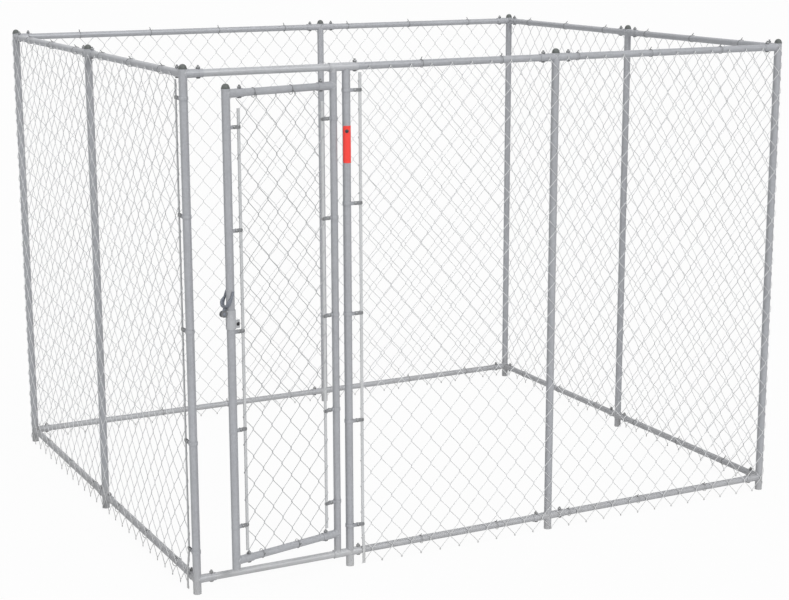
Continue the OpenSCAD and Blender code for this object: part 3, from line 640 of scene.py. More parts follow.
@node_group("Chain link", "GeometryNodeTree",
            {"Path": "Geometry", **dict.fromkeys(COUNTS, "Int"), **dict.fromkeys(LENGTHS, "Float"),
             "Finish": "Material"}, {"Geometry": "Geometry"})
def weave_tree(tree):
    """Wires that zigzag up a path and hook into their neighbours, as in chain-link fabric."""
    def ramp(value, none, full, kind="SMOOTHSTEP"):
        node = tree.add("ShaderNodeMapRange", {"Value": value, "From Min": none, "From Max": full},
                        interpolation_type=kind)
        return tree.field(node)

    path = tree.add("GeometryNodeMeshToCurve", {"Mesh": tree["Path"]})
    index = tree.field(tree.add("GeometryNodeInputIndex"))
    starts = tree.add("GeometryNodeMeshLine", {"Count": tree["Wires"], "Offset": (0, 0, 0)})
    numbered = tree.add("GeometryNodeStoreNamedAttribute", {
        "Geometry": starts, "Name": "wire", "Value": index + tree["First wire"]}, data_type="FLOAT")
    line = tree.add("GeometryNodeCurvePrimitiveLine", {"End": tuple(UP)})
    stepped = tree.add("GeometryNodeResampleCurve", {
        "Curve": line, "Count": tree["Rows"] * tree["Samples"] + 1})
    copies = tree.add("GeometryNodeInstanceOnPoints", {"Points": numbered, "Instance": stepped})
    wires = tree.add("GeometryNodeRealizeInstances", {"Geometry": copies})

    number = tree.field(tree.add("GeometryNodeInputNamedAttribute", {"Name": "wire"}))
    step = tree.field(tree.add("GeometryNodeSplineParameter").outputs["Index"]) / tree["Samples"]
    # Points crowd towards the bends, half way round which a row begins
    row = step - tree.math("SINE", step * (2 * math.pi)) * (CROWDING / (2 * math.pi))
    phase = (row + number) * math.pi
    zigzag = tree.math("ARCSINE", tree.math("COSINE", phase) * BEND) / math.asin(BEND)
    along = (tree["Start"] + tree["Half mesh"] * (number + 0.5)
             - zigzag * (tree["Half mesh"] * 0.5 + tree["Hook"]))

    # The end wires stand further apart where they go round the tension bars
    away = tree.math("MINIMUM", tree.math("ABSOLUTE", along - tree["Start"]),
                     tree.math("ABSOLUTE", along - tree["End"]))
    grip = ramp(away, GRIP_FROM, GRIP_FULL)
    layer = tree["Wire radius"] + (tree["Bar grip"] - tree["Wire radius"]) * grip
    swing = tree.math("MINIMUM", tree.math("MAXIMUM", tree.math("SINE", phase) * QUICK, -1), 1)
    # Between the rails the bands draw the bars, and the fabric with them, in towards the posts
    height = tree["Bottom"] + row * tree["Row height"]
    drawn_in = (ramp(away, tree["Ease"], GRIP_FULL) * ramp(height, tree["Foot"], tree["Low"], "LINEAR")
                * ramp(height, tree["Head"], tree["High"], "LINEAR") * tree["Pull"])
    spot = tree.add("GeometryNodeSampleCurve", {"Curves": path, "Length": along}, mode="LENGTH", use_all_curves=True)
    outward = tree.vector("CROSS_PRODUCT", spot.outputs["Tangent"], tuple(UP))
    out = tree.vector("SCALE", outward, Scale=swing * layer - drawn_in)
    rise = tree.add("ShaderNodeCombineXYZ", {"Z": height})
    position = tree.vector("ADD", tree.vector("ADD", spot.outputs["Position"], out), rise)
    bent = tree.add("GeometryNodeSetPosition", {"Geometry": wires, "Position": position})
    section = tree.add("GeometryNodeCurvePrimitiveCircle", {"Resolution": 6, "Radius": tree["Wire radius"]})
    solid = tree.add("GeometryNodeCurveToMesh", {"Curve": bent, "Profile Curve": section, "Fill Caps": True})
    tree.end(tree.add("GeometryNodeSetShadeSmooth", {"Geometry": solid}))


class Fabric:
    """The lie of one length of fabric: its path between two tension bars, and its wires and rows"""

    LEAD = 0.02

    def __init__(self, path, mesh_width, low, high, pull=0.0, bends=(0, 1, 2, 3)):
        """Pull is how far the bars are drawn in, between the two middle ones of the four heights in bends."""
        size = sizes()
        self.pull = pull
        self.bends = bends
        self.path = [Vector(p) for p in path]
        spans = [(b - a).length for a, b in zip(self.path, self.path[1:])]
        self.reach = np.concatenate(([0], np.cumsum(spans))).tolist()
        past_bar = bar_section()[0] / 2 + size.wire_r
        self.start = self.LEAD - past_bar
        self.end = self.reach[-1] - self.LEAD + past_bar
        self.wires = round((self.end - self.start) / (mesh_width / 2))
        self.half_mesh = (self.end - self.start) / self.wires
        self.rows = round((high - low) / (size.mesh_height / 2))
        self.row_height = (high - low) / self.rows
        self.low = low
        self.high = high

    def spot(self, wire):
        """The place where a wire starts along the path, and the outward side of the fabric there."""
        along = self.start + wire * self.half_mesh
        k = int(np.clip(np.searchsorted(self.reach, along) - 1, 0, len(self.path) - 2))
        ahead = (self.path[k + 1] - self.path[k]).normalized()
        return self.path[k] + (along - self.reach[k]) * ahead, ahead.cross(UP)

    def weave(self, name, first, count, finish):
        """A stretch of the fabric, by its first wire and how many it has."""
        size = sizes()
        mesh = bpy.data.meshes.new(name + "_path")
        mesh.from_pydata(self.path, [(k, k + 1) for k in range(len(self.path) - 1)], [])
        return grown(name, mesh, weave_tree(), {
            "First wire": first, "Wires": count, "Rows": self.rows, "Samples": size.samples,
            "Start": self.start, "End": self.end, "Half mesh": self.half_mesh,
            "Row height": self.row_height, "Bottom": self.low, "Wire radius": size.wire_r,
            "Hook": size.hook, "Bar grip": size.bar_grip, "Pull": self.pull, "Ease": size.bar_ease,
            "Finish": finish, **dict(zip(("Foot", "Low", "High", "Head"), self.bends))})

    def knuckles(self, name, finish, body):
        """The clenched wire ends along the two edges."""
        size = sizes()
        ring_r, sides, tall = size.hook + size.wire_r * 0.6, 10, 1.4
        loop = [(x, 0, z) for x, z in arc(ring_r, 0, 2 * math.pi, sides, tall)]
        bm = joined(draw(bmesh.new(), loop, round_profile(size.wire_r, 5), Vector((0, 1, 0))))
        places = []
        for row, z in ((0, self.low), (self.rows, self.high)):
            for wire in range(1, self.wires):
                if (row + wire) % 2 == 0:
                    point, outward = self.spot(wire)
                    turn = turned(math.atan2(outward.x, -outward.y))
                    places.append(Matrix.Translation(point + z * UP) @ turn)
        set_out(name, solid_mesh(bm), places, finish, body, "fabric_wire")


def corner_arc(x, y, radius, start):
    """A quarter turn of the fabric round a corner post."""
    return [(x + u, y + v, 0) for u, v in arc(radius, start, math.pi / 2, 10)]


def run_fabric():
    front_bar, side_bar = middle("front_tension_bar"), middle("side_tension_bar")
    path = [(front_bar.x - Fabric.LEAD, FRONT_Y - FABRIC_OUT, 0)]
    path += corner_arc(RIGHT_X, FRONT_Y, FABRIC_OUT, -math.pi / 2)
    path += corner_arc(RIGHT_X, BACK_Y, FABRIC_OUT, 0)
    path += corner_arc(LEFT_X, BACK_Y, FABRIC_OUT, math.pi / 2)
    path += [(LEFT_X - FABRIC_OUT, side_bar.y - Fabric.LEAD, 0)]
    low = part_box("fabric_front")[0].z
    bar = NODES["front_tension_bar"].data
    bends = sorted({round(vertex.co.z, 4) for vertex in bar.vertices})[1:]
    return Fabric(path, sizes().mesh_width, low, TOP_Z, FABRIC_OUT - bar_depth(), (*bends, TOP_Z))


def gate_fabric():
    ends = [(GATE.inverted() @ middle(node)).x for node in ("latch_side_bar", "hinge_side_bar")]
    path = [GATE @ Vector((x, 0, 0)) for x in (ends[0] - Fabric.LEAD, ends[1] + Fabric.LEAD)]
    low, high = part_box("gate_fabric")
    edge = 2 * sizes().hook
    return Fabric(path, sizes().gate_mesh_width, low.z + edge, high.z - edge)


class KENNEL_OT_weave_run(bpy.types.Operator):
    """Weaves the one length of fabric round the run, in a piece for each wall"""

    bl_idname = "kennel.weave_run"
    bl_label = "Weave the run's fabric"

    def execute(self, context):
        finish = drawn_wire("Fabric wire", colours().wire)
        fabric = run_fabric()
        corners = [Vector((x, y, 0)) for x, y in ((RIGHT_X, FRONT_Y), (RIGHT_X, BACK_Y), (LEFT_X, BACK_Y))]
        turns = [min(range(fabric.wires), key=lambda wire: (fabric.spot(wire)[0] - corner).length)
                 for corner in corners]
        bounds = [0, *turns, fabric.wires]
        for wall, first, after in zip(WALLS, bounds, bounds[1:]):
            piece = fabric.weave(f"woven_fabric_{wall}", first, after - first, finish)
            carried(piece, "run", "fabric_wire", f"fabric_{wall}")
        fabric.knuckles("fabric_edge_run", drawn_wire("Gate fabric wire", colours().gate_wire), "run")
        return {"FINISHED"}


class KENNEL_OT_weave_gate(bpy.types.Operator):
    """Weaves the gate's panel of fabric"""

    bl_idname = "kennel.weave_gate"
    bl_label = "Weave the gate's fabric"

    def execute(self, context):
        finish = drawn_wire("Gate fabric wire", colours().gate_wire)
        fabric = gate_fabric()
        carried(fabric.weave("woven_fabric_gate", 0, fabric.wires, finish), "gate", "fabric_wire", "gate_fabric")
        fabric.knuckles("fabric_edge_gate", finish, "gate")
        return {"FINISHED"}


# Frame


class KENNEL_OT_finish_frame(bpy.types.Operator):
    """Gives the posts, rails, beams, stiles, bars and latch collar their zinc"""

    bl_idname = "kennel.finish_frame"
    bl_label = "Finish the frame"

    DRAWN = 0.02

    def execute(self, context):
        hue = colours()
        along_x, along_y, along_z = (self.DRAWN, 1, 1), (1, self.DRAWN, 1), (1, 1, self.DRAWN)
        # Each finish goes on the nodes whose names hold one of its words
        finishes = (
            (zinc("Upright tube", hue.tube, along_z), ("post_", "_stile", "gate_post")),
            (zinc("Tube across", hue.tube, along_x), ("_rail_front", "_rail_back")),
            (zinc("Tube front to back", hue.tube, along_y), ("_rail_right", "_rail_left")),
            (zinc("Gate rail", hue.tube, along_x, -GATE_OPEN), ("gate_top_rail", "gate_bottom_rail")),
            (zinc("Welded fitting", hue.fitting, along_x, contrast=0.12), ("gate_header", "gate_sill")),
            (zinc("Tension bar", hue.bar, along_z, contrast=0.12), ("tension_bar", "side_bar")),
            # The collar darkens within a radius of the pivot, in the ear colour
            (zinc("Latch collar", hue.fitting, along_z, contrast=0.2, dark_tint=hue.ear,
                  pivot=(PIVOT, 2 * sizes().eye_r)), ("latch_collar",)),
        )
        for name, node in NODES.items():
            for finish, words in finishes:
                if any(word in name for word in words):
                    node.data.materials[0] = finish
        return {"FINISHED"}


def weld_bead(post_r, socket_r):
    """The bead along the saddle where a socket meets its upright, drawn for a socket along +X."""
    bead_r = sizes().weld_r
    sides, sunk, ripple = 48, 0.2 * bead_r, 0.16
    path = [(math.sqrt(max(post_r ** 2 - y ** 2, 0)), y, z)
            for y, z in arc(socket_r - sunk, 0, 2 * math.pi, sides)]
    ripples = [1 + ripple * math.sin(12 * a) * math.sin(5 * a + 1)
               for a in (2 * math.pi * k / sides for k in range(sides + 1))]
    sections = [round_profile(bead_r * swell, 6) for swell in ripples]
    return solid_mesh(joined(sweep(bmesh.new(), path, sections, ACROSS)), 80)


class KENNEL_OT_weld_sockets(bpy.types.Operator):
    """Runs a weld bead round each socket of the posts and stiles"""

    bl_idname = "kennel.weld_sockets"
    bl_label = "Weld the sockets"

    def execute(self, context):
        finish = zinc("Weld bead", colours().fitting, contrast=0.3, crystals=260)
        ahead, back = Matrix(), turned(math.pi)
        places = []
        for name, wall in WALLS.items():
            halfway = (wall.inverted() @ middle("mid_post_" + name)).x
            for x, turn in ((0, ahead), (halfway, back), (halfway, ahead), (WALL_LENGTH[name], back)):
                places += [wall @ moved(x, 0, z) @ turn for z in (BOTTOM_Z, TOP_Z)]
        set_out("socket_welds_run", weld_bead(POST_R, SOCKET_R), places, finish, "run", "galvanised_tube")
        for stile, x, turn, stile_r in (("latch", LATCH_X, ahead, POST_R), ("hinge", 0, back, RAIL_R)):
            places = [GATE @ moved(x, 0, z) @ turn for z in (GATE_BOTTOM_Z, GATE_TOP_Z)]
            set_out(f"socket_welds_{stile}_stile", weld_bead(stile_r, SOCKET_R), places, finish,
                    "gate", "galvanised_tube")
        self.weld_beams(finish)
        return {"FINISHED"}

    def weld_beams(self, finish):
        """Beads on the two gate beams: under the hinge seats, round the leg and at the sleeves' ends."""
        down, up = turned(math.pi / 2, "Y"), turned(-math.pi / 2, "Y")
        seats = [moved(HINGE.x, HINGE.y, z) @ turn for z, turn in ((BOTTOM_Z, up), (TOP_Z, down))]
        legs = [moved(GATE_POST.x, GATE_POST.y, BOTTOM_Z) @ down]
        ends = [moved(HINGE.x - sizes().sleeve_lead, HINGE.y, z) for z in (BOTTOM_Z, TOP_Z)]
        for name, bead, places in (
                ("hinge_seat_welds", weld_bead(SOCKET_R, RAIL_R), seats),
                ("leg_weld", weld_bead(SOCKET_R, POST_R), legs),
                ("sleeve_welds", weld_bead(0, SOCKET_R), ends)):
            set_out(name, bead, places, finish, "run", "welded_fitting")


def cap_mesh(radius):
    """A dome on a straight rim."""
    size = sizes()
    edge, rim = 0.0008, size.cap_rim
    foot = radius - 2 * edge
    steps = 9
    dome = arc(foot, 0, math.pi / 2, steps, (size.cap_height - rim) / foot)[:-1]
    return solid_mesh(lathe([
        (0, 0), (radius - edge, 0), (radius, edge), (radius, rim - edge), (radius - edge, rim),
        *[(x, rim + z) for x, z in dome], (0, size.cap_height)], 32), 40)


class KENNEL_OT_cap_posts(bpy.types.Operator):
    """Sets a domed cap on each post and on the latch stile"""

    bl_idname = "kennel.cap_posts"
    bl_label = "Cap the posts"

    def execute(self, context):
        finish = moulded("Cap", colours().cap, 0.5, 0.25)
        for node, body, name in (("post_caps", "run", "domed_caps_run"), ("gate_cap", "gate", "domed_cap_gate")):
            found = solids(node)
            radius = (found[0][1].x - found[0][0].x) / 2
            places = [moved((low.x + high.x) / 2, (low.y + high.y) / 2, high.z - sizes().cap_height)
                      for low, high in found]
            set_out(name, cap_mesh(radius), places, finish, body, "cap", node)
        return {"FINISHED"}


class KENNEL_OT_hang_tag(bpy.types.Operator):
    """Bends a plain tag round the front of the gate post"""

    bl_idname = "kennel.hang_tag"
    bl_label = "Hang the tag"

    RIVET_TURN = math.radians(-20)

    def execute(self, context):
        low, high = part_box("post_tag")
        outer = GATE_POST.y - low.y
        thickness = 0.8 * (outer - POST_R)
        radius = outer - thickness / 2
        corner = sizes().tag_corner
        half_turn = math.acos((GATE_POST.y - high.y) / outer)
        columns = 28
        path, sections = [], []
        for k in range(columns + 1):
            u = (2 * k / columns - 1) * half_turn
            into_corner = max(0, abs(u) * outer - (half_turn * outer - corner))
            half = (high.z - low.z) / 2 - (corner - math.sqrt(max(corner ** 2 - into_corner ** 2, 0)))
            path.append((GATE_POST.x + radius * math.sin(u), GATE_POST.y - radius * math.cos(u), (low.z + high.z) / 2))
            sections.append([(x * thickness / 2, z * half) for x, z in ((1, 1), (-1, 1), (-1, -1), (1, -1))])
        mesh = solid_mesh(sweep(bmesh.new(), path, sections, UP))
        carried(placed("bent_tag", mesh, moulded("Tag", colours().tag, 0.35, 0.1)), "run", "tag", "post_tag")
        foot = moved(GATE_POST.x, GATE_POST.y, high.z - sizes().rivet_drop)
        self.rivet(foot @ turned(self.RIVET_TURN) @ moved(0, -outer, 0))
        return {"FINISHED"}

    def rivet(self, spot):
        """A domed rivet that stands out towards the spot's -Y."""
        radius = sizes().rivet_r
        rise, sunk = 0.3, -0.2 * radius
        dome = arc(radius, 0, math.pi / 2, 6, rise)[:-1]
        bm = lathe([(0, sunk), (radius, sunk), *dome, (0, rise * radius)], 24)
        bm.transform(spot @ turned(math.pi / 2, "X"))
        finish = moulded("Rivet", colours().latch_bolt, 0.4, 0.1)
        carried(placed("tag_rivet", solid_mesh(bm), finish), "run", "cap")


# Ties and fasteners


def tie_mesh(box):
    """A wire round a rail and the fabric beyond it towards -Y, with its ends twisted together on top.

    The box is that of the ring: the wire's thickness, and the ring's length and height.
    """
    wire_r = box.x / 2
    ring_r = min(box.y, box.z) / 2 - wire_r
    reach = abs(box.y - box.z)
    ring = [(0, centre + y, z) for centre, start in ((-reach, math.pi / 2), (0, -math.pi / 2))
            for y, z in arc(ring_r, start, math.pi, 8)]
    bm = draw(bmesh.new(), ring + ring[:1], round_profile(wire_r, 6), ACROSS)
    turns, steps = 3, 18
    spread, thinned = wire_r * 0.95, wire_r * 0.9
    foot, lean, rise = 0.3 * reach, 0.35, 0.4
    for side in (0, math.pi):
        tail = []
        for k, (x, y) in enumerate(arc(spread, side, 2 * math.pi * turns, steps)):
            run = sizes().tie_tail * k / steps
            tail.append((x, y - foot - lean * run, ring_r + rise * run))
        draw(bm, tail, round_profile(thinned, 5), ACROSS)
    return solid_mesh(bm, 60)


class KENNEL_OT_wrap_ties(bpy.types.Operator):
    """Ties the fabric to the rails with twisted wire"""

    bl_idname = "kennel.wrap_ties"
    bl_label = "Wrap the ties"

    def execute(self, context):
        finish = drawn_wire("Tie wire", colours().tie, 0.15)
        found = solids("frame_ties")
        places = []
        for low, high in found:
            wall, local = nearest_wall((low + high) / 2)
            level = min((BOTTOM_Z, TOP_Z), key=lambda z: abs(z - local.z))
            places.append(wall @ moved(local.x, 0, level))
        box = min((high - low for low, high in found), key=lambda size: size.x)
        set_out("twisted_ties_run", tie_mesh(box), places, finish, "run", "bright_zinc", "frame_ties")
        # On the gate the fabric lies between the rails, so the rings hang down or stand up
        hang = turned(math.pi / 2, "X")
        stand = turned(math.pi) @ turned(-math.pi / 2, "X")
        found = solids("gate_ties", GATE)
        places = []
        for low, high in found:
            centre = (low + high) / 2
            level, turn = min(((GATE_BOTTOM_Z, stand), (GATE_TOP_Z, hang)), key=lambda v: abs(v[0] - centre.z))
            places.append(GATE @ moved(centre.x, 0, level) @ turn)
        box = found[0][1] - found[0][0]
        set_out("twisted_ties_gate", tie_mesh(box), places, finish, "gate", "bright_zinc", "gate_ties")
        return {"FINISHED"}


def band_mesh(node, into, depth):
    """A strap round an upright, whose two ears run out along +X and hold a tension bar between them."""
    low, high = min(solids(node, into), key=lambda box: (box[1] - box[0]).y)
    outer_r = (high.y - low.y) / 2
    reach = high.x - low.x - outer_r
    thickness = sizes().band_thickness
    ring_r = outer_r - thickness / 2
    gap = bar_section()[1] / 2 + sizes().band_fit + thickness / 2
    sides = (-depth - gap, gap - depth)
    leave, arrive = (math.asin(y / ring_r) for y in sides)
    ring = [(x, y, 0) for x, y in arc(ring_r, leave, arrive - 2 * math.pi - leave, 39)]
    taper, narrowed, edge = 0.93 * reach, 0.7, 0.0004
    path = [(reach, sides[0], 0), (taper, sides[0], 0), *ring, (taper, sides[1], 0), (reach, sides[1], 0)]
    strap = rounded_profile(thickness, high.z - low.z, edge)
    end = rounded_profile(thickness, narrowed * (high.z - low.z), edge)
    mesh = solid_mesh(sweep(bmesh.new(), path, [end, *[strap] * (len(path) - 2), end], UP), 50)
    # Mask of the ears, on which the band's finish paints shade: 0 on the ring, rising to 1 out along the ears
    ear = mesh.attributes.new("ear", "FLOAT", "POINT")
    ear.data.foreach_set("value", [min(1, max(0, (v.co.x - ring_r) / (2 * thickness))) for v in mesh.vertices])
    return mesh


class KENNEL_OT_strap_bands(bpy.types.Operator):
    """Straps the tension bars to the posts and stiles with bands"""

    bl_idname = "kennel.strap_bands"
    bl_label = "Strap the bands"

    def execute(self, context):
        hue = colours()
        # The ears take painted shade in the ear colour
        finish = zinc("Tension band", hue.tube, contrast=0.2, dark_tint=hue.ear)
        mirrored = turned(math.pi, "Y")
        front, left = WALLS["front"], WALLS["left"]
        gate_post_x = (front.inverted() @ GATE_POST).x
        places = []
        for low, high in solids("frame_bands", front):
            z = (low.z + high.z) / 2
            if low.x > POST_R:
                places.append(front @ moved(gate_post_x, 0, z))
            else:
                places.append(left @ moved(WALL_LENGTH["left"], 0, z) @ mirrored)
        model = band_mesh("frame_bands", front, bar_depth())
        set_out("strapped_bands_run", model, places, finish, "run", "dark_zinc", "frame_bands")
        on_stiles = {"hinge": [], "latch": []}
        for low, high in solids("gate_bands", GATE):
            z = (low.z + high.z) / 2
            if high.x > LATCH_X / 2:
                on_stiles["hinge"].append(GATE @ moved(0, 0, z) @ mirrored)
            else:
                on_stiles["latch"].append(GATE @ moved(LATCH_X, 0, z))
        for stile, places in on_stiles.items():
            model = band_mesh("gate_bands", GATE, 0)
            set_out("strapped_bands_" + stile, model, places, finish, "gate", "dark_zinc", "gate_bands")
        return {"FINISHED"}


def fastener_mesh(head_w, total, head_h, nut_at, nut_h, nut_w):
    """A domed bolt along +Z from the underside of its head, with a ridged end and a chamfered nut."""
    # A nut is as wide as 1.7 shanks, and the shank is a hair thinner than its hole
    shank_r = 0.49 * nut_w / 1.7
    root_r, point_r = 0.88 * shank_r, 0.75 * shank_r
    head_r = head_w / 2
    rim, under_r = -0.15 * head_h, 0.96 * head_r
    end = total - head_h
    dome = arc(head_r, -3 * math.pi / 8, math.pi / 4, 2, head_h / head_r)
    bm = lathe([(0, -head_h), *dome, (head_r, rim), (under_r, 0), (0, 0)], 16)
    pitch, sunk = sizes().thread_pitch, -0.3 * head_h
    shank = [(0, sunk), (shank_r, sunk), (shank_r, nut_at)]
    nut_end = z = nut_at + nut_h
    while z + pitch < end - pitch:
        shank += [(shank_r, z), (root_r, z + pitch / 2)]
        z += pitch
    if end - pitch - z > MERGE:
        shank.append((shank_r, z))
    lathe([*shank, (shank_r, end - pitch), (point_r, end), (0, end)], 12, bm)
    corner = nut_w / 2 / math.cos(math.pi / 6)
    face, chamfer = 0.9 * corner, 0.08 * nut_w
    lathe([(0, nut_at), (face, nut_at), (corner, nut_at + chamfer), (corner, nut_end - chamfer), (face, nut_end),
           (0, nut_end)], 6, bm)
    return solid_mesh(bm, 38)


class KENNEL_OT_fit_fasteners(bpy.types.Operator):
    """Fits the rail bolts, band bolts and latch bolts with their nuts"""

    bl_idname = "kennel.fit_fasteners"
    bl_label = "Fit the fasteners"

    RAIL_HEAD = 0.004
    RAIL_NUT = (0.0068, 0.0127)
    RAIL_GAP = 0.0002
    RAIL_TURN = 2.4
    SMALL_HEAD = 0.0035
    SMALL_NUT = (0.0055, 0.0111)
    SMALL_TAIL = 0.0025
    SMALL_TURN = 1.7

    def rail_fasteners(self, node):
        """Bolts that go up through a socket and its rail, with their places."""
        found = solids(node)
        box = found[0][1] - found[0][0]
        model = fastener_mesh(box.x, box.z, self.RAIL_HEAD, 2 * SOCKET_R + self.RAIL_GAP, *self.RAIL_NUT)
        places = [moved((low.x + high.x) / 2, (low.y + high.y) / 2, low.z + self.RAIL_HEAD)
                  @ turned(self.RAIL_TURN * k) for k, (low, high) in enumerate(found)]
        return model, places

    def small_fasteners(self, node, on_walls):
        """Bolts that go inwards through a wall or the gate, with their heads outside, and their places."""
        found = solids(node, WALLS["front"] if on_walls else GATE)
        box = min((high - low for low, high in found), key=lambda size: size.x)
        nut_at = box.y - self.SMALL_HEAD - self.SMALL_NUT[0] - self.SMALL_TAIL
        model = fastener_mesh(box.x, box.y, self.SMALL_HEAD, nut_at, *self.SMALL_NUT)
        inwards = turned(-math.pi / 2, "X")
        places = []
        for k, (low, high) in enumerate(solids(node)):
            centre = (low + high) / 2
            wall, local = nearest_wall(centre) if on_walls else (GATE, GATE.inverted() @ centre)
            head = moved(local.x, local.y - box.y / 2 + self.SMALL_HEAD, local.z)
            places.append(wall @ head @ inwards @ turned(self.SMALL_TURN * k))
        return model, places

    def execute(self, context):
        hue = colours()
        bolt = zinc("Bolt", hue.bolt, contrast=0.3, metallic=0.6, roughness=0.4)
        dark = zinc("Latch bolt", hue.latch_bolt, contrast=0.3, metallic=0.6, roughness=0.4)
        pivot = zinc("Pivot bolt", hue.latch, contrast=0.3)
        for body, bolts, nuts in (("run", "frame_bolts", "frame_nuts"), ("gate", "gate_bolts", "gate_nuts")):
            model, places = self.rail_fasteners(bolts)
            set_out("rail_fasteners_" + body, model, places, bolt, body, "dark_zinc", bolts, nuts)
        for name, node, body, finish in (
                ("band_fasteners_run", "frame_band_bolts", "run", bolt),
                ("band_fasteners_gate", "gate_band_bolts", "gate", bolt),
                ("collar_fastener", "collar_bolt", "gate", dark),
                ("pivot_fastener", "latch_pivot", "gate", pivot)):
            model, places = self.small_fasteners(node, body == "run")
            set_out(name, model, places, finish, body, "dark_zinc", node)
        return {"FINISHED"}


class KENNEL_OT_forge_fork(bpy.types.Operator):
    """Forges the latch fork: an eye, a stem and a strap bent into two prongs"""

    bl_idname = "kennel.forge_fork"
    bl_label = "Forge the fork"

    ROUND = 0.0018
    EYE_HOLE = 0.0032

    def eye(self):
        """A ring about Y."""
        hole, rim, half, edge = self.EYE_HOLE, sizes().eye_r, sizes().stem_width / 2, self.ROUND
        bm = joined(lathe([
            (hole, -half), (rim - edge, -half), (rim, -half + edge), (rim, half - edge), (rim - edge, half),
            (hole, half), (hole, -half)], 28))
        bm.transform(turned(math.pi / 2, "X"))
        return bm

    def stem(self, bm, bend_r):
        """The stem, from the eye to the crown of the bend."""
        size = sizes()
        path = [(x, 0, 0) for x in np.linspace(-size.eye_r * 0.6, bend_r - size.bend_reach, 6).tolist()]
        draw(bm, path, rounded_profile(size.stem_width, size.stem_height, self.ROUND), UP)

    def strap(self, bm, bend_r, tips):
        """The strap, from prong to prong. Its lower edge rises from the bend to the tips."""
        size = sizes()
        shoulder = -size.bend_reach - size.strap_height
        tip = size.tip_height
        prong = [(tips, 0.8 * tip), (tips + 0.25 * tip, 0.95 * tip), (tips + 0.6 * tip, tip), (shoulder, tip)]
        bend = [(x - size.bend_reach, y, size.strap_height) for x, y in arc(bend_r, -math.pi / 2, math.pi, 20)]
        line = [(x, -bend_r, h) for x, h in prong] + bend + [(x, bend_r, h) for x, h in reversed(prong)]
        sweep(bm, [(x, y, 0) for x, y, _ in line],
              [rounded_profile(size.strap_thickness, h, self.ROUND, size.strap_top - h / 2) for _, _, h in line], UP)

    def execute(self, context):
        lifted = Matrix.Translation(PIVOT) @ turned(GATE_OPEN) @ turned(FORK_UP, "Y")
        low, high = solids("latch_fork", lifted)[0]
        bend_r = high.y - sizes().strap_thickness / 2
        bm = self.eye()
        self.stem(bm, bend_r)
        self.strap(bm, bend_r, low.x)
        bm.transform(lifted)
        finish = zinc("Latch zinc", colours().latch, contrast=0.2)
        carried(placed("forged_fork", solid_mesh(bm, 50), finish), "fork", "latch_zinc", "latch_fork")
        return {"FINISHED"}


# Stage


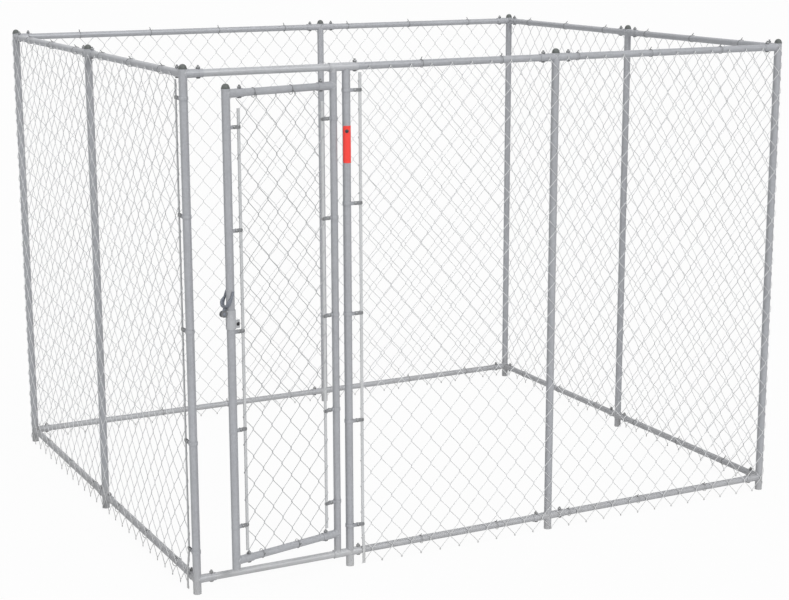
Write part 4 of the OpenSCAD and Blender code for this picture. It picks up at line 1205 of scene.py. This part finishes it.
class KENNEL_OT_set_stage(bpy.types.Operator):
    """Sets the floor, the light and the camera"""

    bl_idname = "kennel.set_stage"
    bl_label = "Set the stage"

    def seen(self, tree):
        """1 for the rays that show the background: from the camera, and through gloss and glass."""
        rays = tree.add("ShaderNodeLightPath").outputs
        seen = tree.math("MAXIMUM", rays["Is Camera Ray"], rays["Is Glossy Ray"])
        return tree.math("MAXIMUM", seen, rays["Is Transmission Ray"])

    def floor(self):
        half = FLOOR_HALF
        mesh = bpy.data.meshes.new("studio_floor")
        mesh.from_pydata([(-half, -half, 0), (half, -half, 0), (half, half, 0), (-half, half, 0)], [], [(0, 1, 2, 3)])
        finish = bpy.data.materials.new("Studio floor")
        finish.use_nodes = True
        finish.node_tree.nodes.clear()
        tree = Tree(finish.node_tree)
        matt = tree.add("ShaderNodeBsdfDiffuse", {"Color": (*colours().floor, 1)})
        white = tree.add("ShaderNodeEmission", {"Color": (1, 1, 1, 1), "Strength": 1})
        mixed = tree.add("ShaderNodeMixShader", {
            0: self.seen(tree) * stage_settings().floor_glow, 1: matt.outputs[0], 2: white.outputs[0]})
        tree.add("ShaderNodeOutputMaterial", {"Surface": mixed.outputs[0]})
        floor = placed("studio_floor", mesh, finish)

    def sky(self, scene):
        scene.world = bpy.data.worlds.new("Studio")
        scene.world.use_nodes = True
        tree = Tree(scene.world.node_tree)
        background = scene.world.node_tree.nodes["Background"]
        ambient = stage_settings().sky
        tree.feed(background.inputs, {
            "Color": (1, 1, 1, 1), "Strength": self.seen(tree) * (1 - ambient) + ambient})

    def lamp(self, name, towards, strength, spread):
        """A broad, even light from far off, shining in a direction."""
        light = bpy.data.lights.new(name, "SUN")
        light.energy = strength
        light.angle = math.radians(spread)
        lamp = bpy.data.objects.new(name, light)
        lamp.rotation_euler = Vector(towards).to_track_quat("-Z", "Y").to_euler()
        bpy.context.scene.collection.objects.link(lamp)

    def camera(self, scene):
        settings = stage_settings()
        data = bpy.data.cameras.new("Camera")
        data.sensor_fit = "HORIZONTAL"
        data.sensor_width = SENSOR_WIDTH
        data.lens = settings.focal_pixels * SENSOR_WIDTH / IMAGE_WIDTH
        data.clip_end = VIEW_END
        camera = bpy.data.objects.new("Camera", data)
        turn = Vector(settings.look).to_track_quat("-Z", "Y").to_matrix().to_4x4()
        camera.matrix_world = (moved(LEFT_X, FRONT_Y, 0) @ Matrix.Translation(settings.eye) @ turn
                               @ turned(settings.roll))
        scene.collection.objects.link(camera)
        scene.camera = camera

    def execute(self, context):
        scene = context.scene
        scene.view_settings.view_transform = "Standard"
        self.floor()
        self.sky(scene)
        for lamp in LAMPS:
            self.lamp(*lamp)
        self.camera(scene)
        return {"FINISHED"}


OPERATORS = (
    KENNEL_OT_finish_frame, KENNEL_OT_weave_run, KENNEL_OT_weave_gate, KENNEL_OT_wrap_ties,
    KENNEL_OT_strap_bands, KENNEL_OT_fit_fasteners, KENNEL_OT_weld_sockets, KENNEL_OT_cap_posts,
    KENNEL_OT_hang_tag, KENNEL_OT_forge_fork, KENNEL_OT_set_stage,
)


class KENNEL_PT_panel(bpy.types.Panel):
    """Lists the steps in the 3D view's sidebar"""

    bl_idname = "KENNEL_PT_panel"
    bl_label = "Kennel run"
    bl_space_type = "VIEW_3D"
    bl_region_type = "UI"
    bl_category = "Kennel"

    def draw(self, context):
        for operator in OPERATORS:
            self.layout.operator(operator.bl_idname)


CLASSES = (KennelSizes, KennelColours, KennelStage, *OPERATORS, KENNEL_PT_panel)


def register():
    for cls in CLASSES:
        bpy.utils.register_class(cls)
    bpy.types.Scene.kennel_sizes = PointerProperty(type=KennelSizes)
    bpy.types.Scene.kennel_colours = PointerProperty(type=KennelColours)
    bpy.types.Scene.kennel_stage = PointerProperty(type=KennelStage)


def unregister():
    del bpy.types.Scene.kennel_stage
    del bpy.types.Scene.kennel_colours
    del bpy.types.Scene.kennel_sizes
    for cls in reversed(CLASSES):
        bpy.utils.unregister_class(cls)


def main():
    register()
    for operator in OPERATORS:
        group, step = operator.bl_idname.split(".")
        getattr(getattr(bpy.ops, group), step)()


if __name__ == "__main__":
    main()
